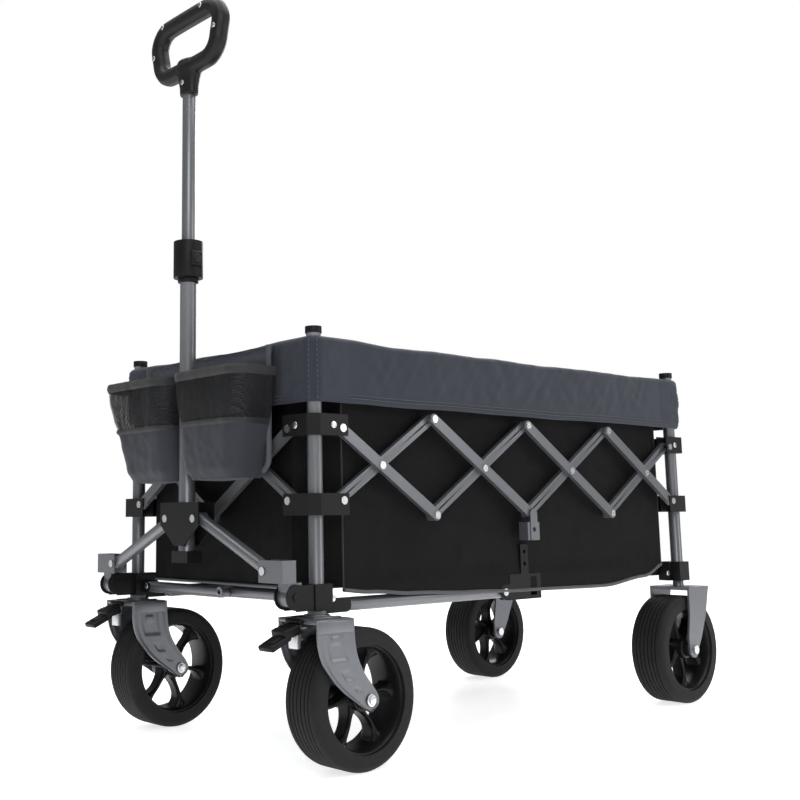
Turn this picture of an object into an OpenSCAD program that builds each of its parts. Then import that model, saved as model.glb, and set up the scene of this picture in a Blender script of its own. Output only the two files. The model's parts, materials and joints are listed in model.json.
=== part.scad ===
// Folding camp wagon: scissor frame, fabric basket, four wheels and a telescopic pull handle.
// X runs from the front posts to the rear posts, Y to the right side, Z up from the ground.

/* [Scissor frame] */
// Angle of the scissor bars above level when the wagon is open
open_angle = 32.5; // [30:0.5:38]
// Length of a bar from its crossing rivet to its far joint
bar_long_arm = 140; // [115:1:170]
// Length of an end bar from its crossing rivet to its corner pin
bar_short_arm = 98; // [80:1:118]
// Distance from a post's axis to its bar pins
pin_offset = 36; // [34:0.5:44]
// Height of the upper corner pins
upper_pin_z = 486; // [460:1:560]
// Width of a scissor bar
bar_w = 17; // [14:0.5:19]
// Thickness of a scissor bar
bar_t = 8.6; // [7:0.1:8.6]
// Wall of a scissor bar's tube
bar_wall = 1.2; // [0.8:0.1:2]
// Radius of the rivet shanks
rivet_r = 3; // [2.5:0.1:3.6]

/* [Posts and brackets] */
// Outer radius of a corner post
post_r = 11; // [9.5:0.5:12.5]
// Height of the post caps' tops
post_top_z = 636; // [600:1:720]
// Height of an upper bracket or a slider
bracket_h = 31.5; // [28:0.5:38]
// Bottom of the base brackets
base_z = 227; // [225:1:235]
// Height of the base brackets
base_h = 36; // [32:1:42]

/* [Base rails] */
// Outer radius of the long base rails
rail_r = 10; // [8:0.5:10]
// Outer radius of the front cross rails
cross_r = 9; // [7.5:0.5:9]
// Height of the front long rails' axes
front_rail_z = 230; // [229:1:233]
// Height of the rear long rails' axes
rear_rail_z = 247; // [244:1:248]

/* [Wheels] */
// Radius of the wheels
wheel_r = 100; // [80:1:101]
// Width of the tyres
wheel_w = 70; // [56:1:80]
// Distance of the front axles behind the post axes
front_trail = 64; // [52:1:70]
// Distance of the rear axles ahead of the rear post axes
rear_lead = 26; // [10:1:32]

/* [Basket] */
// Height of the basket's upper edge
band_top_z = 622; // [608:1:626]
// Thickness of the basket's fabric wall
fabric_t = 2; // [1.2:0.1:2]
// Underside of the basket's floor
floor_z = 258.5; // [258.5:0.5:266]

/* [Handle] */
// Outer radius of the handle's lower tube
lower_tube_r = 13; // [12:0.5:13]
// Outer radius of the handle's upper tube
upper_tube_r = 11; // [9:0.5:11]
// Height of the collar's top
collar_top_z = 801; // [760:1:840]
// Height of the upper tube's top
upper_tube_top_z = 1060; // [1000:1:1120]
// Outer width of the grip
grip_w = 210; // [170:1:250]
// Height of the grip loop
grip_h = 120; // [100:1:140]
// Thickness of the grip bar
grip_t = 28; // [24:1:32]

/* [Organizer] */
// Half the width of the organizer's panel
panel_half_w = 165; // [140:1:185]
// Depth of a pocket
pocket_d = 77; // [60:1:90]
// Height of a pocket
pocket_h = 165; // [130:1:180]

/* [Hidden] */
$fn = 48;
pin_gap = 0.08;                    // radial clearance of a pin in a turning bore
fit_gap = 0.05;                    // radial clearance of a fixed rivet or insert
run_gap = 0.4;                     // clearance between faces that move past each other
slide_gap = 0.4;                   // radial clearance of a slider on its post

// Scissor geometry
arm_cos = cos(open_angle);
arm_sin = sin(open_angle);
wagon_len = 2 * pin_offset + (2 * bar_short_arm + 6 * bar_long_arm) * arm_cos;
wagon_w = 2 * pin_offset + (2 * bar_short_arm + 2 * bar_long_arm) * arm_cos;
half_w = wagon_w / 2;
slider_pin_z = upper_pin_z - 2 * bar_short_arm * arm_sin;
crossing_z = upper_pin_z - bar_short_arm * arm_sin;
top_joint_z = crossing_z + bar_long_arm * arm_sin;
bottom_joint_z = crossing_z - bar_long_arm * arm_sin;

// Layers, as distances outward from the plane through the post axes
inner_layer = 2;
outer_layer = inner_layer + bar_t + 0.4;
outer_face = outer_layer + bar_t;
outer_plate = outer_face + run_gap;
plate_t = 2;
inner_plate_t = 1.7;
inner_plate = inner_layer - run_gap - inner_plate_t;
head_r = 6;
head_t = 1.6;
outer_bound = outer_plate + plate_t + head_t;

// Posts and brackets
post_wall = 1.5;
sleeve_r = post_r + 3.5;
arm_reach = pin_offset + 11;
block_reach = pin_offset - bar_w / 2 - 10.5;
corner_cut = 14;
upper_bracket_z = upper_pin_z - 11.5;
slider_z = slider_pin_z - bracket_h + 10.3;
cap_r = post_r + 1.5;
cap_h = 10;

// Base rails
front_rail_n = -rail_r - 3;
rear_rail_n = front_rail_n - 2 * rail_r - 1.5;
rail_pivot = 58;
mid_half = 53;
rail_len = wagon_len / 2 - mid_half - rail_pivot;
link_w = 20;
link_t = 1.6;
link_top_z = bottom_joint_z - 51;
cross_pivot = 30;
cross_z = 240;
cross_len = half_w - cross_pivot;
right_cross_x = cross_r + 0.6;
left_cross_x = right_cross_x + 2 * cross_r + 1;
cheek_t = 2;
tube_wall = 1.4;

// Handle foot and linkage
ear_x = -49.5;
ear_z = 246.5;
ear_r = 18;
ear_gap = 12;
foot_half = ear_gap - run_gap;
strut_r = 9.5;
strut_x = -61;
strut_foot_y = half_w - 32;
strut_foot_z = 282;
strut_top_y = 38;
strut_angle = 24.06;
strut_len = (strut_foot_y - strut_top_y) / cos(strut_angle);
strut_top_z = strut_foot_z + strut_len * sin(strut_angle);
foot_top_z = 297.5;

// Handle
collar_r = 24;
collar_h = 60;
collar_z = collar_top_z - collar_h;
lower_tube_z = strut_top_z - 50;
upper_tube_z = collar_z - 60;
grip_z = upper_tube_top_z + 25;
stem_z = upper_tube_top_z - 9;
button_z = collar_z + 29;

// Wheels and forks
axle_r = 5;
leg_gap = wheel_w / 2 + 3;
leg_t = 4;
fork_top_z = base_z - 11;
fork_plate_t = 6;
stem_r = 10;
swivel_r = 6;
tyre_h = 24;
rim_r = wheel_r - tyre_h;

// Basket
band_z = top_joint_z + 17.5;
wall_n = -0.5;
band_n = post_r + 5;
corner_in = 27;
mat_t = 4;

// Organizer
panel_t = 3;
panel_x = -outer_bound - 1;
panel_z = 425;
panel_top_z = band_top_z - 7;
pocket_z = panel_z - 10;
pocket_in = lower_tube_r + 1;
pocket_out = 190;

x_mid = (wagon_len - rear_lead + wheel_r + panel_x - panel_t - pocket_d) / 2;

sides = ["left", "right"];
ends = ["front", "rear"];
side_bars = ["a1", "b1", "a2", "b2", "a3", "b3", "a4", "b4"];
end_bars = ["a1", "b1", "a2", "b2"];

// Puts a piece drawn for the left side on the side asked for
module on_side(side) {
    if (side == "left") children();
    else mirror([0, 1, 0]) children();
}

// Puts a piece drawn for the front end on the end asked for
module at_end(end) {
    if (end == "front") children();
    else translate([wagon_len, 0, 0]) mirror([1, 0, 0]) children();
}

// Swaps X and Y, so that what is drawn along a side runs across an end
module swap_axes() {
    rotate([0, 0, 90]) mirror([0, 1, 0]) children();
}

// A round bar along Y, from y0 to y1
module y_bar(r, y0, y1) {
    translate([0, y0, 0]) rotate([-90, 0, 0]) cylinder(r = r, h = y1 - y0);
}

// A round bar along X, from x0 to x1
module x_bar(r, x0, x1) {
    translate([x0, 0, 0]) rotate([0, 90, 0]) cylinder(r = r, h = x1 - x0);
}

// A rivet along Y with a head at each end; its shank fills y0 to y1
module y_rivet(y0, y1) {
    y_bar(rivet_r, y0, y1);
    y_bar(head_r, y0 - head_t, y0);
    y_bar(head_r, y1, y1 + head_t);
}

// A rivet along X with a head at each end
module x_rivet(x0, x1) {
    x_bar(rivet_r, x0, x1);
    x_bar(head_r, x0 - head_t, x0);
    x_bar(head_r, x1, x1 + head_t);
}

// The outline of a bar with round ends, along X
module slot_outline(length, w) {
    translate([0, -w / 2]) square([length, w]);
    circle(d = w);
    translate([length, 0]) circle(d = w);
}

// A hollow flat bar with round ends, along X from its first pin, with its layer's near face at y = 0
module hollow_bar(length) {
    difference() {
        rotate([90, 0, 0]) linear_extrude(bar_t) slot_outline(length, bar_w);
        translate([0, -bar_wall, 0]) rotate([90, 0, 0])
            linear_extrude(bar_t - 2 * bar_wall) slot_outline(length, bar_w - 2 * bar_wall);
    }
}

// One scissor bar along a side. u0 and z0 place its first pin, slope is its angle above level,
// first_arm and second_arm are its lengths either side of the crossing, and rivets lists its own
module scissor_bar(u0, z0, slope, first_arm, second_arm, layer, rivets) {
    pins = [0, first_arm, first_arm + second_arm];
    translate([u0, -layer, z0]) rotate([0, -slope, 0]) {
        difference() {
            hollow_bar(first_arm + second_arm);
            for (i = [0 : 2])
                translate([pins[i], 0, 0])
                    y_bar(rivet_r + (rivets[i] ? fit_gap : pin_gap), -bar_t - 1, 1);
        }
        for (i = [0 : 2])
            if (rivets[i])
                translate([pins[i], layer, 0]) y_rivet(-outer_face - 0.1, -inner_layer + 0.1);
    }
}

// A bar of the given name, drawn along a side that has the given number of crossings
module named_bar(name, crossings) {
    step = 2 * bar_long_arm * arm_cos;
    index = ord(name[1]) - ord("1");
    falling = name[0] == "a";
    first = index == 0;
    last = index == crossings - 1;
    first_arm = first ? bar_short_arm : bar_long_arm;
    second_arm = last ? bar_short_arm : bar_long_arm;
    first_u = pin_offset + (bar_short_arm + bar_long_arm) * arm_cos + (index - 1) * step;
    u0 = first ? pin_offset : first_u;
    high_z = first ? upper_pin_z : top_joint_z;
    low_z = first ? slider_pin_z : bottom_joint_z;
    color("dimgray")
        scissor_bar(
            u0, falling ? high_z : low_z, falling ? -open_angle : open_angle, first_arm, second_arm,
            falling ? outer_layer : inner_layer, falling ? [!first, true, !last] : [false, false, false]
        );
}

// A scissor bar of a long side
module side_bar(side, name) {
    on_side(side) translate([0, -half_w, 0]) named_bar(name, 4);
}

// A scissor bar of an end
module end_bar(end, name) {
    at_end(end) translate([0, -half_w, 0]) swap_axes() named_bar(name, 2);
}

// The two plates that hold a side's bar pin, drawn from the post axis along X
module pin_plates(z0, h) {
    translate([0, -outer_plate - plate_t, z0]) cube([arm_reach, plate_t, h]);
    translate([0, -inner_plate - inner_plate_t, z0]) cube([arm_reach, inner_plate_t, h]);
}

// The block of a corner bracket in plan, without its post bore
module block_outline() {
    far = outer_plate + plate_t;
    polygon([
        [-far, -far + corner_cut], [-far + corner_cut, -far], [block_reach, -far],
        [block_reach, -inner_plate], [-inner_plate, -inner_plate], [-inner_plate, block_reach],
        [-far, block_reach]
    ]);
    circle(r = sleeve_r);
}

// A corner bracket for one bar pin on each face, round the post axis
module pin_bracket(z0, h, pin_z, bore_r) {
    difference() {
        union() {
            translate([0, 0, z0]) linear_extrude(h) block_outline();
            pin_plates(z0, h);
            swap_axes() pin_plates(z0, h);
        }
        translate([0, 0, z0 - 1]) cylinder(r = bore_r, h = h + 2);
        for (turn = [0 : 1])
            if (turn == 0) bracket_bore(pin_z);
            else swap_axes() bracket_bore(pin_z);
    }
    bracket_rivet(pin_z);
    swap_axes() bracket_rivet(pin_z);
}

module bracket_bore(pin_z) {
    translate([pin_offset, 0, pin_z]) y_bar(rivet_r + fit_gap, -outer_bound - 1, 2);
}

module bracket_rivet(pin_z) {
    shank_in = -inner_plate - inner_plate_t;
    translate([pin_offset, 0, pin_z]) {
        y_bar(rivet_r, -outer_plate - plate_t, shank_in + inner_plate_t);
        y_bar(head_r, -outer_bound, -outer_plate - plate_t - 0.02);
    }
}

// A post's tube and the cap in its top
module post() {
    z0 = base_z + 16;
    difference() {
        translate([0, 0, z0]) cylinder(r = post_r, h = post_top_z - cap_h - z0);
        translate([0, 0, z0 - 1]) cylinder(r = post_r - post_wall, h = post_top_z - z0);
    }
    translate([0, 0, post_top_z - cap_h]) cylinder(r = cap_r, h = cap_h);
    translate([0, 0, post_top_z - cap_h - 20]) cylinder(r = post_r - post_wall - fit_gap, h = 20);
}

// The cheek outside a rail's pivot; n is the rail's lane
module rail_cheek(n, r, z) {
    y0 = -n - r - run_gap - cheek_t;
    difference() {
        union() {
            translate([rail_pivot, y0, z]) y_bar(r, 0, cheek_t);
            translate([block_reach - 4, y0, z - r]) cube([rail_pivot - block_reach + 4, cheek_t, 2 * r]);
        }
        translate([rail_pivot, 0, z]) y_bar(rivet_r + fit_gap, y0 - 1, y0 + cheek_t + 1);
    }
}

// The rivet of a rail's pivot, from its cheek through the rail
module rail_rivet(n, r, z) {
    translate([rail_pivot, 0, z]) {
        y_bar(rivet_r, -n - r - run_gap - cheek_t, -n + r + run_gap);
        y_bar(head_r, -n + r + run_gap, -n + r + run_gap + head_t);
    }
}

// Two cheeks that hold a cross rail's pivot along X, at the lane x
module cross_cheeks(x) {
    for (x0 = [x - cross_r - run_gap - cheek_t, x + cross_r + run_gap])
        difference() {
            union() {
                translate([0, cross_pivot, cross_z]) x_bar(cross_r, x0, x0 + cheek_t);
                translate([x0, block_reach - 6, base_z + 4])
                    cube([cheek_t, cross_pivot - block_reach + 6, 2 * cross_r]);
            }
            translate([0, cross_pivot, cross_z]) x_bar(rivet_r + fit_gap, x0 - 1, x0 + cheek_t + 1);
        }
}

// The base bracket's block round the post, with the swivel bore below the post
module base_block(reach_in) {
    difference() {
        translate([0, 0, base_z]) linear_extrude(base_h)
            polygon([
                [-16, -16], [block_reach, -16], [block_reach, -inner_plate + 1], [28, -inner_plate + 1],
                [28, reach_in], [-16, reach_in]
            ]);
        translate([0, 0, base_z + 16]) cylinder(r = post_r + fit_gap, h = base_h);
        translate([0, 0, base_z - 1]) cylinder(r = swivel_r + pin_gap, h = base_h);
    }
}

// The two ears at the front that carry the handle's foot, with their pivot pins
module handle_ears() {
    for (y0 = [-ear_gap - 2, ear_gap])
        difference() {
            union() {
                translate([ear_x, 0, ear_z]) y_bar(ear_r, y0, y0 + 2);
                translate([ear_x, y0, base_z]) cube([-16 - ear_x, 2, base_h]);
            }
            translate([ear_x, 0, ear_z]) y_bar(rivet_r + fit_gap, y0 - 1, y0 + 3);
        }
    translate([ear_x, 0, ear_z]) y_rivet(-ear_gap - 2, ear_gap + 2);
}

// A wheel leg in side view, drawn with the wheel's axle at the origin; top_x is the stem's place
module leg_outline(top_x) {
    top = fork_top_z - wheel_r;
    polygon([
        [top_x - 37, top], [top_x + 33, top], [top_x + 35, top - 52], [top_x + 42, top - 92],
        [15, 0], [-15, 0], [top_x - 2, top - 96], [top_x - 23, top - 52]
    ]);
    circle(r = 15);
}

// A fork with two legs and its axle bolt; the stem is at the origin and axle_x behind it
module fork(axle_x, pin_h) {
    translate([0, 0, fork_top_z - fork_plate_t])
        translate([-37, -leg_gap - leg_t, 0]) cube([70, 2 * (leg_gap + leg_t), fork_plate_t]);
    for (y0 = [leg_gap + leg_t, -leg_gap])
        difference() {
            translate([axle_x, y0, wheel_r]) rotate([90, 0, 0]) linear_extrude(leg_t)
                leg_outline(-axle_x);
            translate([axle_x, 0, wheel_r]) y_bar(axle_r + fit_gap, y0 - leg_t - 1, y0 + 1);
        }
    translate([0, 0, fork_top_z]) cylinder(r = stem_r, h = base_z - fork_top_z - 0.3);
    translate([0, 0, fork_top_z]) cylinder(r = swivel_r, h = pin_h);
}

// The bolt that a wheel turns on
module axle_bolt(axle_x) {
    translate([axle_x, 0, wheel_r]) {
        y_bar(axle_r, -leg_gap - leg_t, leg_gap + leg_t);
        for (y0 = [-leg_gap - leg_t - 5.02, leg_gap + leg_t + 0.02])
            y_bar(8, y0, y0 + 5);
    }
}

// A corner post with its cap, upper bracket, base bracket and rivets; a rear one also has its fork
module corner(end, side) {
    front = end == "front";
    rail_n = front ? front_rail_n : rear_rail_n;
    rail_z = front ? front_rail_z : rear_rail_z;
    cross_x = side == "left" ? left_cross_x : right_cross_x;
    color("dimgray") on_side(side) at_end(end) translate([0, -half_w, 0]) {
        post();
        pin_bracket(upper_bracket_z, bracket_h, upper_pin_z, post_r + fit_gap);
        base_block(front ? cross_pivot - cross_r - 0.5 : -rail_n - rail_r);
        rail_cheek(rail_n, rail_r, rail_z);
        rail_rivet(rail_n, rail_r, rail_z);
        if (front) {
            cross_cheeks(cross_x);
            translate([0, cross_pivot, cross_z])
                x_bar(rivet_r, cross_x - cross_r - run_gap - cheek_t, cross_x + cross_r + run_gap + cheek_t);
            handle_ears();
        }
        else {
            fork(rear_lead, base_z - fork_top_z + 14);
            axle_bolt(rear_lead);
        }
    }
}

// A slider that carries the lower bar pins down its post
module slider(end, side) {
    color("black") on_side(side) at_end(end) translate([0, -half_w, 0])
        pin_bracket(slider_z, bracket_h, slider_pin_z, post_r + slide_gap);
}

// A swivelling front fork
module front_fork(side) {
    color("dimgray") on_side(side) translate([0, -half_w, 0]) {
        fork(front_trail, base_z - fork_top_z + 14);
        axle_bolt(front_trail);
    }
}

// A brake pedal at the front of a front fork
module brake_pedal(side) {
    front = -37;
    color("dimgray") on_side(side) translate([front - 4.5, -half_w, fork_top_z - 3])
        rotate([90, 0, 0]) translate([0, 0, -16]) linear_extrude(32) {
            circle(r = 4);
            polygon([[0, 4], [-32, -6], [-54, -30], [-56, -36], [-48, -32], [-30, -15], [0, -4]]);
        }
}

// A wheel: a spoked rim with its hub, and the tyre on it
module wheel(end, side) {
    axle_x = end == "front" ? front_trail : rear_lead;
    color("black") on_side(side) at_end(end) translate([axle_x, -half_w, wheel_r]) rotate([90, 0, 0]) {
        difference() {
            union() {
                translate([0, 0, -leg_gap + 1]) cylinder(r = 14, h = 2 * leg_gap - 2);
                difference() {
                    translate([0, 0, -wheel_w / 2 + 4]) cylinder(r = rim_r - fit_gap, h = wheel_w - 8);
                    translate([0, 0, -wheel_w / 2 - 1]) cylinder(r = rim_r - 4, h = wheel_w + 2);
                }
                for (turn = [0 : 60 : 300])
                    rotate(turn) translate([0, -4, -13]) cube([rim_r - 2, 8, 26]);
            }
            translate([0, 0, -leg_gap]) cylinder(r = axle_r + pin_gap, h = 2 * leg_gap);
        }
        rotate_extrude() translate([rim_r, 0]) tyre_outline();
    }
}

// Half section of a tyre, from the rim outward
module tyre_outline() {
    corner_r = 9;
    translate([0, -wheel_w / 2]) square([tyre_h - corner_r, wheel_w]);
    translate([0, -wheel_w / 2 + corner_r]) square([tyre_h, wheel_w - 2 * corner_r]);
    for (y = [-1, 1]) translate([tyre_h - corner_r, y * (wheel_w / 2 - corner_r)]) circle(r = corner_r);
}

// A round tube along X from 0 to its length, with round ends and a cross bore at each pin
module pinned_tube(length, r) {
    difference() {
        union() {
            x_bar(r, 0, length);
            for (x = [0, length]) translate([x, 0, 0]) y_bar(r - 0.5, -r + 1, r - 1);
        }
        x_bar(r - tube_wall, 0, length);
        for (x = [0, length]) translate([x, 0, 0]) y_bar(rivet_r + pin_gap, -r - 1, r + 1);
    }
}

// Half of a long base rail
module long_rail(side, end) {
    n = end == "front" ? front_rail_n : rear_rail_n;
    z = end == "front" ? front_rail_z : rear_rail_z;
    color("gray") on_side(side) at_end(end) translate([rail_pivot, -half_w - n, z])
        pinned_tube(rail_len, rail_r);
}

// The bracket at the middle of a side, where the front and rear rails meet
module mid_bracket(side) {
    centre = wagon_len / 2;
    near = -front_rail_n - rail_r - run_gap - cheek_t;
    far = -rear_rail_n - rail_r - run_gap;
    color("black") on_side(side) translate([centre, -half_w, 0]) {
        difference() {
            union() {
                translate([-mid_half, near, front_rail_z]) y_bar(12, 0, cheek_t);
                translate([-mid_half, near, front_rail_z - 12]) cube([mid_half, cheek_t, 24]);
                translate([-mid_half + rail_r + 2, near, front_rail_z - 14])
                    cube([mid_half + 30, far - near, floor_z - 0.5 - front_rail_z + 14]);
                translate([-link_w / 2, near + 0.1, front_rail_z])
                    cube([link_w, link_t, link_top_z - front_rail_z]);
                translate([30, far - cheek_t, rear_rail_z - rail_r]) cube([mid_half - 30, cheek_t, 2 * rail_r]);
                translate([mid_half, far - cheek_t, rear_rail_z]) y_bar(rail_r, 0, cheek_t);
            }
            translate([-mid_half, 0, front_rail_z]) y_bar(rivet_r + fit_gap, near - 1, near + cheek_t + 1);
            translate([14, near - 1, front_rail_z - 8]) cube([16, 14, 31]);
            for (z = [link_top_z - 12, link_top_z - 32])
                translate([0, 0, z]) y_bar(3.5, near - 1, near + link_t + 1);
        }
        translate([-mid_half, 0, front_rail_z]) {
            y_bar(rivet_r, near, near + cheek_t + run_gap + 2 * rail_r);
            y_bar(head_r, near - head_t - 0.02, near - 0.02);
        }
    }
}

// The clevis that hangs from a side's middle joint, above the mid bracket's link
module drop_strap(side) {
    z_top = bottom_joint_z - bar_w / 2 - 5;
    ear = outer_face + 0.1 + head_t + 0.3;
    color("silver") on_side(side) translate([wagon_len / 2, -half_w, 0])
        difference() {
            union() {
                translate([-15.5, -ear, z_top - 30]) cube([31, ear - 3, 30]);
                translate([0, -ear - 1.6, bottom_joint_z]) y_bar(9, 0, 1.6);
                translate([-9, -ear - 1.6, z_top - 30]) cube([18, 1.6, bottom_joint_z - z_top + 30]);
            }
            translate([0, 0, z_top - 12]) y_bar(4, -ear - 3, 0);
            translate([-10, -ear + 3, z_top - 31]) cube([20, ear, 14]);
        }
}

// Half of the front cross rail, with its outer end at the base bracket
module cross_rail(side) {
    x = side == "left" ? left_cross_x : right_cross_x;
    color("gray") on_side(side) translate([x, -half_w + cross_pivot, cross_z]) swap_axes()
        pinned_tube(cross_len, cross_r);
}

// A foot that tilts in its ears and holds the handle's strut
module handle_foot(side) {
    back = strut_x + strut_r + 1;
    front = strut_x - strut_r - 1;
    inner = half_w - strut_foot_y + 9;
    color("gray") on_side(side) translate([0, -half_w, 0]) {
        difference() {
            union() {
                translate([ear_x, 0, ear_z]) y_bar(14, -foot_half, foot_half);
                translate([ear_x - 12, -foot_half, ear_z]) cube([24, 2 * foot_half, 20]);
                translate([front - 2, -foot_half - 1, ear_z + ear_r + 1.5])
                    cube([back - front + 4, 2 * foot_half + 2, foot_top_z - ear_z - ear_r - 1.5]);
                for (x0 = [front - 2, back])
                    translate([x0, -foot_half - 1, ear_z + ear_r + 1.5])
                        cube([2, inner + foot_half + 1, foot_top_z - ear_z - ear_r - 1.5]);
            }
            translate([ear_x, 0, ear_z]) y_bar(rivet_r + pin_gap, -foot_half - 1, foot_half + 1);
            translate([0, half_w - strut_foot_y, strut_foot_z]) x_bar(rivet_r + fit_gap, front - 3, back + 3);
        }
        translate([0, half_w - strut_foot_y, strut_foot_z]) {
            if (side == "left") x_bar(rivet_r, front - 2, back + 2);
            x_bar(head_r, front - 2 - head_t, front - 2.02);
        }
    }
}

// A strut from a foot up to the handle's lower tube
module handle_strut(side) {
    color("gray") on_side(side) translate([strut_x, -strut_foot_y, strut_foot_z])
        rotate([strut_angle, 0, 0]) swap_axes()
            difference() {
                union() {
                    x_bar(strut_r, 0, strut_len);
                    for (x = [0, strut_len])
                        translate([x, 0, 0]) y_bar(strut_r - 0.5, -strut_r + 1, strut_r - 1);
                }
                x_bar(strut_r - tube_wall, 0, strut_len);
                y_bar(rivet_r + pin_gap, -strut_r - 1, strut_r + 1);
                translate([strut_len, 0, 0]) y_bar(rivet_r + pin_gap, -strut_r - 1, strut_r + 1);
            }
}

// The handle's lower tube with its socket, pivot bracket and collar
module handle_lower_tube() {
    half_gap = lower_tube_r + 0.3;
    plate = [
        [-52, strut_top_z + 25], [-52, strut_top_z - 10], [-13, strut_top_z - 42],
        [13, strut_top_z - 42], [52, strut_top_z - 10], [52, strut_top_z + 25]
    ];
    translate([strut_x, 0, 0]) {
        color("gray") difference() {
            translate([0, 0, lower_tube_z]) cylinder(r = lower_tube_r, h = collar_z + 20 - lower_tube_z);
            translate([0, 0, lower_tube_z - 1])
                cylinder(r = lower_tube_r - 1.5, h = collar_z + 22 - lower_tube_z);
        }
        color("black") difference() {
            union()
                for (x0 = [-half_gap - 2.2, half_gap])
                    translate([x0, 0, 0]) rotate([90, 0, 90]) linear_extrude(2.2) polygon(plate);
            for (y = [-strut_top_y, strut_top_y])
                translate([0, y, strut_top_z]) x_bar(rivet_r + fit_gap, -half_gap - 3, half_gap + 3);
        }
        color("silver") for (y = [-strut_top_y, strut_top_y])
            translate([0, y, strut_top_z]) x_rivet(-half_gap - 2.25, half_gap + 2.25);
        color("black") difference() {
            translate([-14, -21.5, lower_tube_z - 18]) cube([28, 43, 18]);
            translate([0, 0, lower_tube_z - 19]) cylinder(r = 5, h = 20);
        }
        color("black") difference() {
            translate([0, 0, collar_z]) cylinder(r = collar_r, h = collar_h);
            translate([0, 0, collar_z - 1]) cylinder(r = lower_tube_r + fit_gap, h = 21);
            translate([0, 0, collar_z]) cylinder(r = upper_tube_r + run_gap, h = collar_h + 1);
            translate([0, 0, button_z]) y_bar(8 + run_gap, -collar_r - 1, -upper_tube_r - 1);
        }
    }
}

// The button that frees the upper tube
module handle_button() {
    color("black") translate([strut_x, 0, button_z]) y_bar(8, -collar_r - 3, -upper_tube_r - 5);
}

// The sliding upper tube
module handle_upper_tube() {
    color("gray") translate([strut_x, 0, 0]) difference() {
        translate([0, 0, upper_tube_z]) cylinder(r = upper_tube_r, h = upper_tube_top_z - upper_tube_z);
        translate([0, 0, upper_tube_z - 1])
            cylinder(r = upper_tube_r - 1.5, h = upper_tube_top_z - upper_tube_z + 2);
    }
}

// A rectangle with round corners, centred on the Y axis of its plane
module round_rect(w, h, r) {
    translate([-w / 2 + r, 0]) square([w - 2 * r, h]);
    translate([-w / 2, r]) square([w, h - 2 * r]);
    for (x = [-w / 2 + r, w / 2 - r], y = [r, h - r]) translate([x, y]) circle(r = r);
}

// One half of the grip's shell, with its socket for the tube
module grip_shell() {
    difference() {
        rotate([90, 0, 90]) linear_extrude(grip_t / 2) {
            difference() {
                round_rect(grip_w, grip_h, 46);
                translate([0, grip_t]) round_rect(grip_w - 2 * grip_t, grip_h - 2 * grip_t, 22);
            }
            translate([-22, stem_z - grip_z]) square([44, grip_z - stem_z + grip_t]);
        }
        translate([0, 0, stem_z - grip_z - 1])
            cylinder(r = upper_tube_r + fit_gap, h = upper_tube_top_z - stem_z + 1.2);
    }
}

// The loop grip: two shells that meet at their mid plane, and their screws
module handle_grip() {
    translate([strut_x, 0, grip_z]) {
        color("black") grip_shell();
        color("black") mirror([1, 0, 0]) translate([0.02, 0, 0]) grip_shell();
        color("silver") for (p = [[-50, 91], [61, 91], [-91, 48], [91, 48], [0, 14], [0, -10]])
            translate([-grip_t / 2 - 1.6, p[0], p[1]]) x_bar(4, 0, 1.5);
    }
}

// The outline of the basket in plan, n outward of the post axes, corners cut inside the posts
module basket_outline(n, cut) {
    polygon([
        [-n + cut, -half_w - n], [wagon_len + n - cut, -half_w - n], [wagon_len + n, -half_w - n + cut],
        [wagon_len + n, half_w + n - cut], [wagon_len + n - cut, half_w + n], [-n + cut, half_w + n],
        [-n, half_w + n - cut], [-n, -half_w - n + cut]
    ]);
}

// A block at the middle of a side, from y0 inside the post plane inward to y1 and up to z1
module link_gap(half, y0, z1, y1) {
    translate([wagon_len / 2 - half, -half_w + y0, floor_z]) cube([2 * half, y1 - y0, z1 - floor_z]);
}

// The fabric basket: its liner and floor, the band round the posts, and the floor mat
module basket() {
    lip = 1.5;
    color("darkslategray") {
        difference() {
            translate([0, 0, floor_z]) linear_extrude(band_top_z - lip - floor_z)
                basket_outline(wall_n, 2 * corner_in);
            translate([0, 0, floor_z + fabric_t]) linear_extrude(band_top_z - floor_z)
                basket_outline(wall_n - fabric_t, 2 * corner_in);
            for (side = sides) on_side(side) link_gap(link_w / 2 + 1.5, -1, link_top_z + 2, fabric_t + 2);
        }
        for (side = sides) on_side(side)
            difference() {
                link_gap(link_w / 2 + 6, 0.5, link_top_z + 6, 2 * fabric_t + 0.5);
                link_gap(link_w / 2 + 1.5, -1, link_top_z + 2, fabric_t + 1.5);
            }
        difference() {
            translate([0, 0, band_z]) linear_extrude(band_top_z - band_z) basket_outline(band_n, corner_cut);
            translate([0, 0, band_z - 1]) linear_extrude(band_top_z - lip - band_z + 1)
                basket_outline(band_n - fabric_t, corner_cut);
            translate([0, 0, band_z - 1]) linear_extrude(band_top_z - band_z + 2)
                basket_outline(wall_n - fabric_t, 2 * corner_in);
            for (x = [0, wagon_len], y = [-half_w, half_w])
                translate([x, y, band_z]) cylinder(r = cap_r + 0.5, h = band_top_z);
        }
        translate([0, 0, floor_z + fabric_t + 0.1]) linear_extrude(mat_t)
            basket_outline(wall_n - fabric_t - 4, 2 * corner_in);
    }
}

// An open pocket from y0 to y1
module pocket(y0, y1) {
    translate([panel_x - panel_t - pocket_d, y0, pocket_z]) difference() {
        cube([pocket_d, y1 - y0, pocket_h]);
        translate([fabric_t, fabric_t, fabric_t])
            cube([pocket_d - 2 * fabric_t, y1 - y0 - 2 * fabric_t, pocket_h]);
    }
}

// The organizer on the front: its panel and two pockets, hung from the band
module organizer() {
    color("gray") {
        translate([panel_x - panel_t, -panel_half_w, panel_z])
            cube([panel_t, 2 * panel_half_w, panel_top_z - panel_z]);
        translate([panel_x, -panel_half_w, panel_top_z - 20])
            cube([-panel_x - band_n - 0.3, 2 * panel_half_w, 20]);
        pocket(-pocket_out, -pocket_in);
        pocket(pocket_in, pocket_out);
    }
}

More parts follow.
